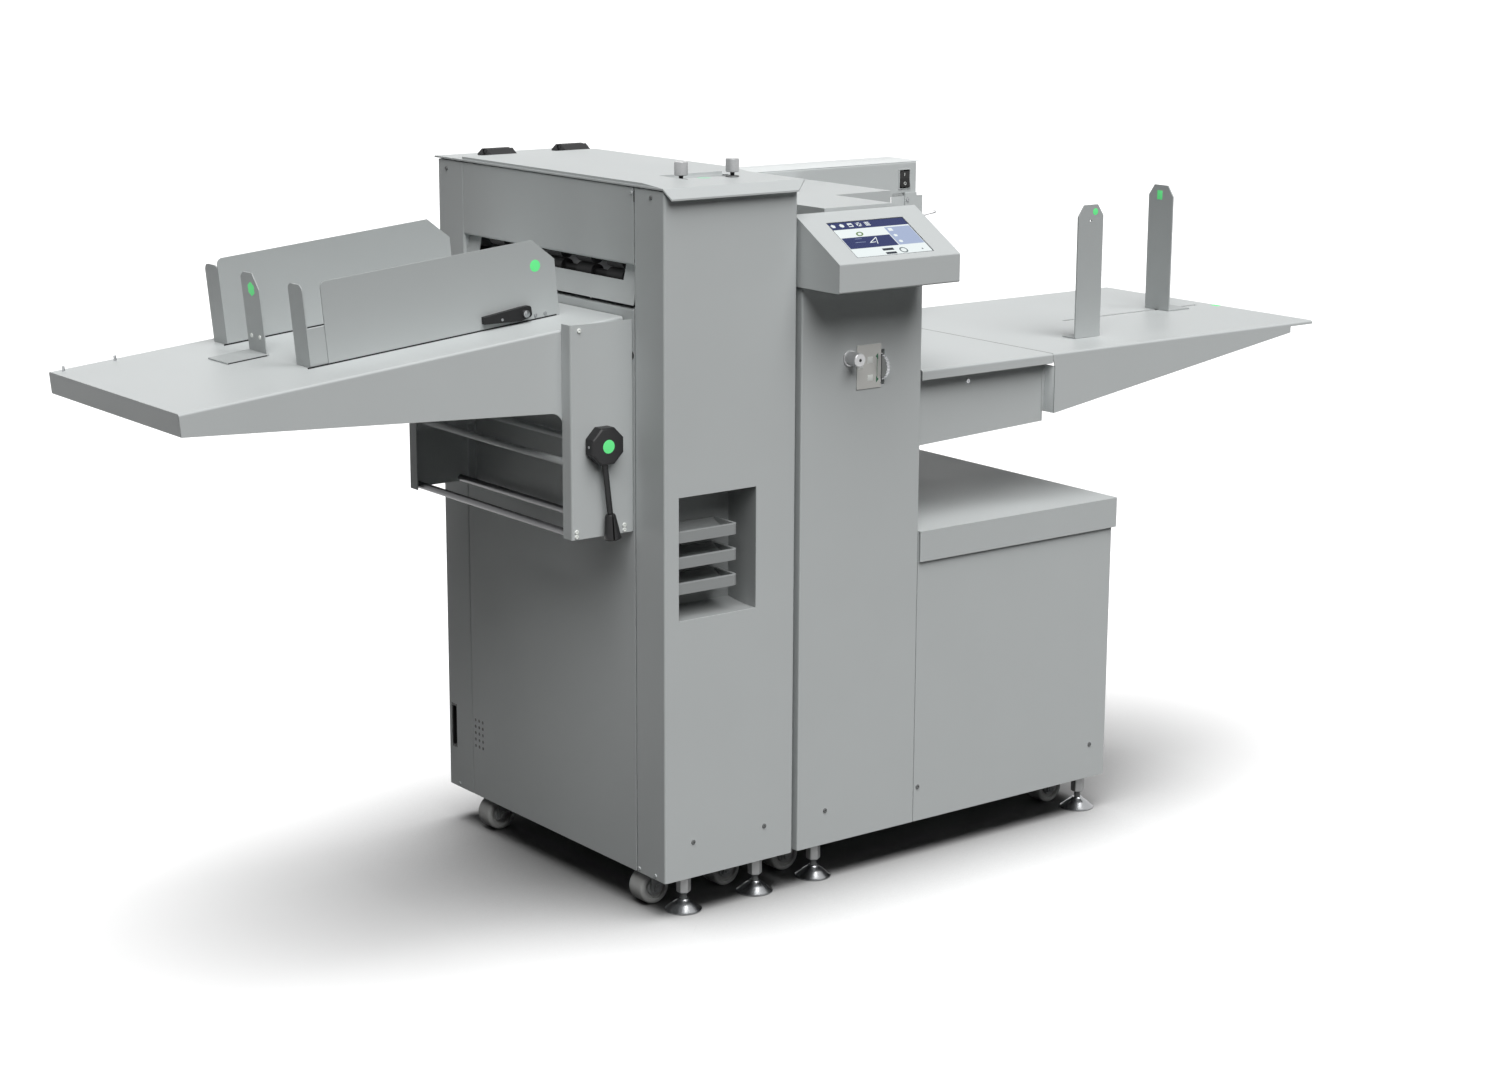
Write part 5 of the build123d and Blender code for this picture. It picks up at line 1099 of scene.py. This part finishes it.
@dataclass
class Delivery:
    """Fittings of the delivery table. Sizes in millimetres."""

    slope: float = 5.51
    level: float = 1030.0
    lever: Pair = (-67.0, 825.0)
    lever_back: float = 87.5
    hub: float = 62.0
    near_guide: float = 221.0
    latch: Pair = (-130.0, 16.0)
    guide_screws: Pair = (-105.0, -86.0)
    guide_marker: Pair = (-97.0, 90.0)
    stop: float = -528.0
    stop_screws: Pair = (390.0, 418.0)
    stop_marker: Pair = (401.0, 107.0)
    pins: Pair = (-796.0, -705.0)
    bracket_screws: tuple[Pair, ...] = ((-116, 674), (-116, 682), (-20, 674), (-20, 682), (-108, 1018))
    rods: Pair = (-112.0, -19.0)
    # Black strips under the guides and the stop: painted contact shade along their feet.
    contact_shade_strips: tuple[tuple[str, Point, Point, str], ...] = (
        ("near_contact_shade", (-536, 220.4, 0.15), (-64, 222.4, 2.4), "near_side_guide"),
        ("far_contact_shade", (-536, 507.4, 0.15), (-88, 509.4, 2.4), "far_side_guide"),
        ("stop_contact_shade", (-601, 368.4, 0.15), (-530, 369.6, 1.8), "centre_stop"))

    def on_tray(self, x: float, y: float, z: float) -> Vector:
        """Scene position of a point given on the level tray.

        Args:
            x: Along the tray, negative towards its outer end.
            y: Across the tray.
            z: Above the tray's surface.

        Returns:
            The position in metres.
        """
        tilt = math.radians(self.slope)
        return place(x * math.cos(tilt) - z * math.sin(tilt), y, self.level + x * math.sin(tilt) + z * math.cos(tilt))

    def clamp_lever(self) -> None:
        """Many-sided hub, bent rod and tapered grip with a slot."""
        x, z = self.lever
        back, half = self.lever_back, self.hub / 2
        middle = place(x, back, z)
        radius = half / math.cos(math.radians(22.5))
        rings = [(radius - 1.5, 0.0), (radius, 1.5), (radius, 21.0), (radius - 3.0, 24.0), (0.2, 24.0)]
        hub = Bench.aim(Bench.turned("lever_hub", rings, 8, 22.5), middle, FRONT)
        hub = Bench.fit(Bench.soften(hub, 0.007, 4), BLACK, "lever")
        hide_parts("clamp_lever")
        elbow = Vector((x - 1, back - 12, z - half + 6))
        neck = Vector((x + 10, back - 12, z - 117))
        along = neck - elbow
        rings = [(4.6, -4.0), (5.0, -2.0), (5.0, along.length + 6), (4.0, along.length + 8)]
        Bench.lathed("lever_rod", rings, 32, place(*elbow), tuple(along), BLACK, "lever")
        rings = [(6.5, 0.0), (8.3, 1.4), (9.2, 4.0), (14.0, 38.0), (14.6, 41.0), (13.2, 43.4), (9.0, 44.0), (0.2, 44.0)]
        grip = Bench.aim(Bench.turned("lever_grip", rings, 40), place(*neck), tuple(along))
        x, y, z = neck
        slot = Bench.box("lever_slot", (x - 2.2, y - 20, z - 60), (x + 0.2, y - 7.0, z + 6))
        Bench.fit(Bench.carved(grip, slot), BLACK, "lever")
        Bench.lathed("lever_stem", [(5.0, -42.0), (5.0, 0.2)], 32, middle, FRONT, STEEL, "lever")
        rings = [(9.6, -36.5), (10.0, -36.0), (10.0, -31.0), (9.0, -30.3)]
        Bench.lathed("lever_washer", rings, 40, middle, FRONT, ZINC, "lever")
        x, z = self.lever
        Marker(11.5).stick("lever_marker", place(x, back - 24, z), FRONT, "lever")
        Screws(2.2, 0.8).row("lever_screw", [place(x - half, back - 11, z)], OUT, "lever")

    def latch_fittings(self) -> None:
        """Bright pivot of the guide's toggle and the screws beside it."""
        x, z = self.latch
        front = self.near_guide
        rings = [(7.2, 9.0), (7.2, 11.0), (6.0, 13.2), (3.0, 14.0), (0.2, 14.2)]
        Bench.lathed("latch_pivot", rings, 40, self.on_tray(x, front - 0.5, z), FRONT, CHROME, "latch")
        spots = [self.on_tray(side, front, 7.5) for side in self.guide_screws]
        Screws(3.0, 1.8).row("guide_screws", spots, FRONT, "near_side_guide")
        Screws(2.4, 1.2).row("latch_screw", [self.on_tray(x - 46, front - 9.5, z - 2)], FRONT, "latch")

    def stop_fittings(self) -> None:
        """Screws and marker of the end stop, marker of the near guide, tray pins, bracket screws."""
        tilt = math.radians(self.slope)
        outward = (-math.cos(tilt), 0.0, -math.sin(tilt))
        spots = [self.on_tray(self.stop, y, 28) for y in self.stop_screws]
        # Zinc screws in the white finish: painted glint on their heads.
        Screws(3.8, 1.6).row("stop_screws", spots, outward, "centre_stop", WHITE_PRINT_AND_GLINT, "zinc_plate")
        Marker(12.0, 6).stick("stop_marker", self.on_tray(self.stop, *self.stop_marker), outward, "centre_stop")
        x, z = self.guide_marker
        Marker(10.0).stick("guide_marker", self.on_tray(x, self.near_guide, z), FRONT, "near_side_guide")
        rings = [(2.4, -1.0), (2.4, 7.5), (1.6, 9.0), (0.2, 9.4)]
        off_tray = (-math.sin(tilt), 0.0, math.cos(tilt))
        pins = [Bench.aim(Bench.turned(f"tray_pin_{index}", rings, 20), self.on_tray(x, 567.0, 0.0), off_tray)
                for index, x in enumerate(self.pins)]
        Bench.fit(Bench.joined("tray_pins", pins), ZINC, "tray")
        spots = [place(x, 88.0, z) for x, z in self.bracket_screws]
        # Zinc screws in the white finish: painted glint on their heads.
        Screws(4.0, 2.0).row("bracket_screws", spots, FRONT, "frame", WHITE_PRINT_AND_GLINT, "zinc_plate")

    def cross_rods(self) -> None:
        """Dark tubes over the brackets' cross rods: painted shade under the delivery tray."""
        for index, x in enumerate(self.rods):
            rings = [(6.0, 90.3), (6.25, 90.5), (6.25, 609.5), (6.0, 609.7)]
            Bench.lathed(f"cross_tube_painted_shade_{index}", rings, 32, place(x, 0.0, 675.0), BACK, ROD_PAINTED_SHADE, "frame")

    def paint_contact_shade(self) -> None:
        """Black strips under the guides and the stop: painted contact shade along their feet on the tray."""
        for name, low, high, body in self.contact_shade_strips:
            strip = Bench.block(name, Vector(low) * MM, Vector(high) * MM, 0.0002)
            strip.rotation_euler = (0.0, -math.radians(self.slope), 0.0)
            strip.location = place(0.0, 0.0, self.level)
            Bench.fit(Bench.settle(strip), BLACK, body)

    def build(self) -> None:
        """Build every fitting of the delivery side."""
        self.clamp_lever()
        self.latch_fittings()
        self.stop_fittings()
        self.paint_contact_shade()
        self.cross_rods()


@dataclass
class FeedSide:
    """Fittings of the feed table and its guides. Sizes in millimetres."""

    top: float = 899.0
    side_guide: Pair = (1065.0, 100.0)
    backstop: Pair = (1422.0, 283.7)

    def build(self) -> None:
        """Build the markers, joint sheets and screw of the feed side."""
        Marker(6.5, 24).stick("side_guide_marker", place(*self.side_guide, 1136.0), FRONT, "side_guide")
        x, y = self.backstop
        Bench.slab("backstop_marker", (x - 0.3, y - 7, 1120.5), (x + 0.05, y + 7, 1138.5), 0.0001, GREEN_PAINTED_GLOW, "rear_stop")
        Bench.slab("table_marker", (1556, 241, self.top - 0.1), (1568, 262, self.top + 0.2), 0.0001, GREEN_PAINTED_GLOW, "table")
        seam = Bench.box("table_seam", (871.0, 2.0, self.top - 0.2), (873.0, 575.0, self.top + 0.15))
        Bench.fit(seam, FIXING, "table", "black_plastic")
        Bench.slab("joint_sheet", (868, 24.0, 790), (876.2, 24.9, 874), 0.0002, PAINT_TABLE, "table")
        # Lighter sheet on the joint's end face: painted highlight.
        Bench.slab("joint_face", (875.3, 1.2, 789), (876.0, 29.8, 874.4), 0.0002, LIGHT_SHEET_PAINTED_HIGHLIGHT, "table")
        Screws(4.4, 2.4).row("table_screw", [place(686.7, 25.0, 864)], FRONT, "table")


# ---- feet and casters ----

@dataclass
class Undercarriage:
    """Levelling feet and swivel casters. Sizes in millimetres."""

    feet: tuple[Pair, ...] = ((60, 30), (215, 30), (346.5, 30), (997.5, 30))
    thread: Pair = (19.5, 44.0)
    thread_pitch: float = 1.5
    casters: tuple[Pair, ...] = ((52, 100), (207, 100), (52, 594), (207, 594),
                                 (338.5, 100), (989.5, 100), (338.5, 472), (989.5, 472))
    trail: float = 16.0
    axle: float = 30.0
    nut_reach: float = 24.4

    def foot(self, index: int, spot: Vector) -> None:
        """Turned foot, threaded stem and hexagon sleeve.

        Args:
            index: Foot's number.
            spot: Its middle on the floor.
        """
        body = f"foot_{index}"
        rings = [(31.0, 0.0), (32.0, 0.8), (32.0, 2.2), (29.5, 3.6), (20.0, 12.0), (16.0, 15.0), (13.0, 16.8),
                 (11.0, 18.0), (9.0, 20.4), (5.0, 21.0), (0.2, 21.0)]
        cone = Bench.lathed(f"foot_cone_{index}", rings, 64, spot, UP, CHROME, body)
        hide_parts(f"levelling_foot_{index}")
        rings = [(5.2, 18.0)]
        height, end = self.thread
        while height < end:
            rings += [(6.0, height), (6.0, height + 0.5), (5.2, height + 1.0)]
            height += self.thread_pitch
        Bench.lathed(f"foot_stem_{index}", rings, 32, spot, UP, FIXING, body)
        rings = [(9.5, 31.6), (12.4, 33.4), (12.9, 34.4), (12.9, 86.6), (12.0, 87.4), (6.2, 87.4)]
        sleeve = Bench.aim(Bench.turned(f"foot_sleeve_{index}", rings, 6), spot, UP)
        Bench.fit(Bench.soften(sleeve, 0.0006, 2), SLEEVE, body)
        Bench.lathed(f"foot_bolt_{index}", [(6.0, 87.0), (6.0, 110.0), (5.2, 112.0)], 24, spot, UP, ZINC, body)

    def wheel(self) -> tuple[Piece, Piece, Piece]:
        """Model one wheel about the first caster's axle.

        Returns:
            Its tyre, its black web that paints the shade in the recess between tyre and hub, and its hub.
        """
        x, y = self.casters[0]
        spot = place(x - self.trail, y, self.axle)
        tyre = [(21.0, 14.5), (21.0, 19.4), (21.6, 20.0), (25.0, 20.0), (28.2, 18.6), (29.6, 16.8), (30.0, 14.5)]
        # The black web is painted shade in the recess between tyre and hub.
        painted_shade_web = [(20.0, 14.4), (21.1, 14.0)]
        hub = [(9.0, 19.0), (13.4, 19.6), (14.4, 18.8), (14.8, 14.2)]
        made = []
        for name, half, sides in (("tyre", tyre, 64), ("painted_shade_web", painted_shade_web, 64), ("hub", hub, 40)):
            rings = [(radius, -height) for radius, height in half] + half[::-1]
            made.append(Bench.aim(Bench.turned(f"caster_{name}_1", rings, sides), spot, BACK))
        return tuple(made)

    def fork(self) -> Piece:
        """Model one fork's bearing ring and axle nuts about the first caster.

        Returns:
            The joined fittings.
        """
        x, y = self.casters[0]
        rings = [(17.0, 80.0), (22.4, 80.4), (22.8, 82.0), (22.4, 84.4), (20.0, 85.4), (20.0, 87.3), (12.0, 87.4)]
        made = [Bench.aim(Bench.turned("fork_ring", rings, 48), place(x, y, 0), UP)]
        rings = [(7.6, 0.0), (7.6, 3.4), (6.4, 4.4), (4.2, 4.6), (4.0, 5.6), (0.2, 5.8)]
        for side in (-1, 1):
            spot = place(x - self.trail, y + side * self.nut_reach, self.axle)
            made.append(Bench.aim(Bench.turned(f"fork_nut_{side}", rings, 6), spot, (0, side, 0)))
        return Bench.joined("fork_fittings_1", made)

    def build(self) -> None:
        """Build the feet, then one caster, and copy it to the other places."""
        for index, (x, y) in enumerate(self.feet, 1):
            self.foot(index, place(x, y, 0))
        tyre, painted_shade_web, hub = self.wheel()
        parts = ((tyre, "caster_tyre", TREAD, "wheel"), (painted_shade_web, "caster_painted_shade_web", BLACK, "wheel"),
                 (hub, "caster_hub", HUB, "wheel"), (self.fork(), "fork_fittings", FORK, "fork"))
        x0, y0 = self.casters[0]
        for index, (x, y) in reversed(list(enumerate(self.casters, 1))):
            move = Vector((x - x0, y - y0, 0.0)) * MM
            for piece, name, finish, body in parts:
                made = piece if index == 1 else Bench.copied(piece, f"{name}_{index}", move)
                made.name = f"{name}_{index}"
                if name == "caster_tyre":
                    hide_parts(f"caster_wheel_{index}")
                Bench.fit(made, finish, f"{body}_{index}")


# ---- machine ----

def dress_nodes() -> None:
    """Give every CAD node a finish of its own or that of its material slot."""
    slots = {part["node"]: part["material_slot"] for part in frame["record"]["subparts"]}
    for name, node in frame["nodes"].items():
        finish = NODE_FINISH.get(name, SLOT_FINISH[slots[name]])
        node.data.materials.clear()
        node.data.materials.append(finish.material())
        LOG.info("%s: %s", name, finish.label)


def main() -> None:
    """Build the studio, dress the nodes and build every fitting."""
    logging.basicConfig(level=logging.INFO, format="%(message)s")
    Studio().build()
    dress_nodes()
    for group in (Tower(), Console(), Head(), Delivery(), FeedSide(), Undercarriage()):
        group.build()


if __name__ == "__main__":
    main()
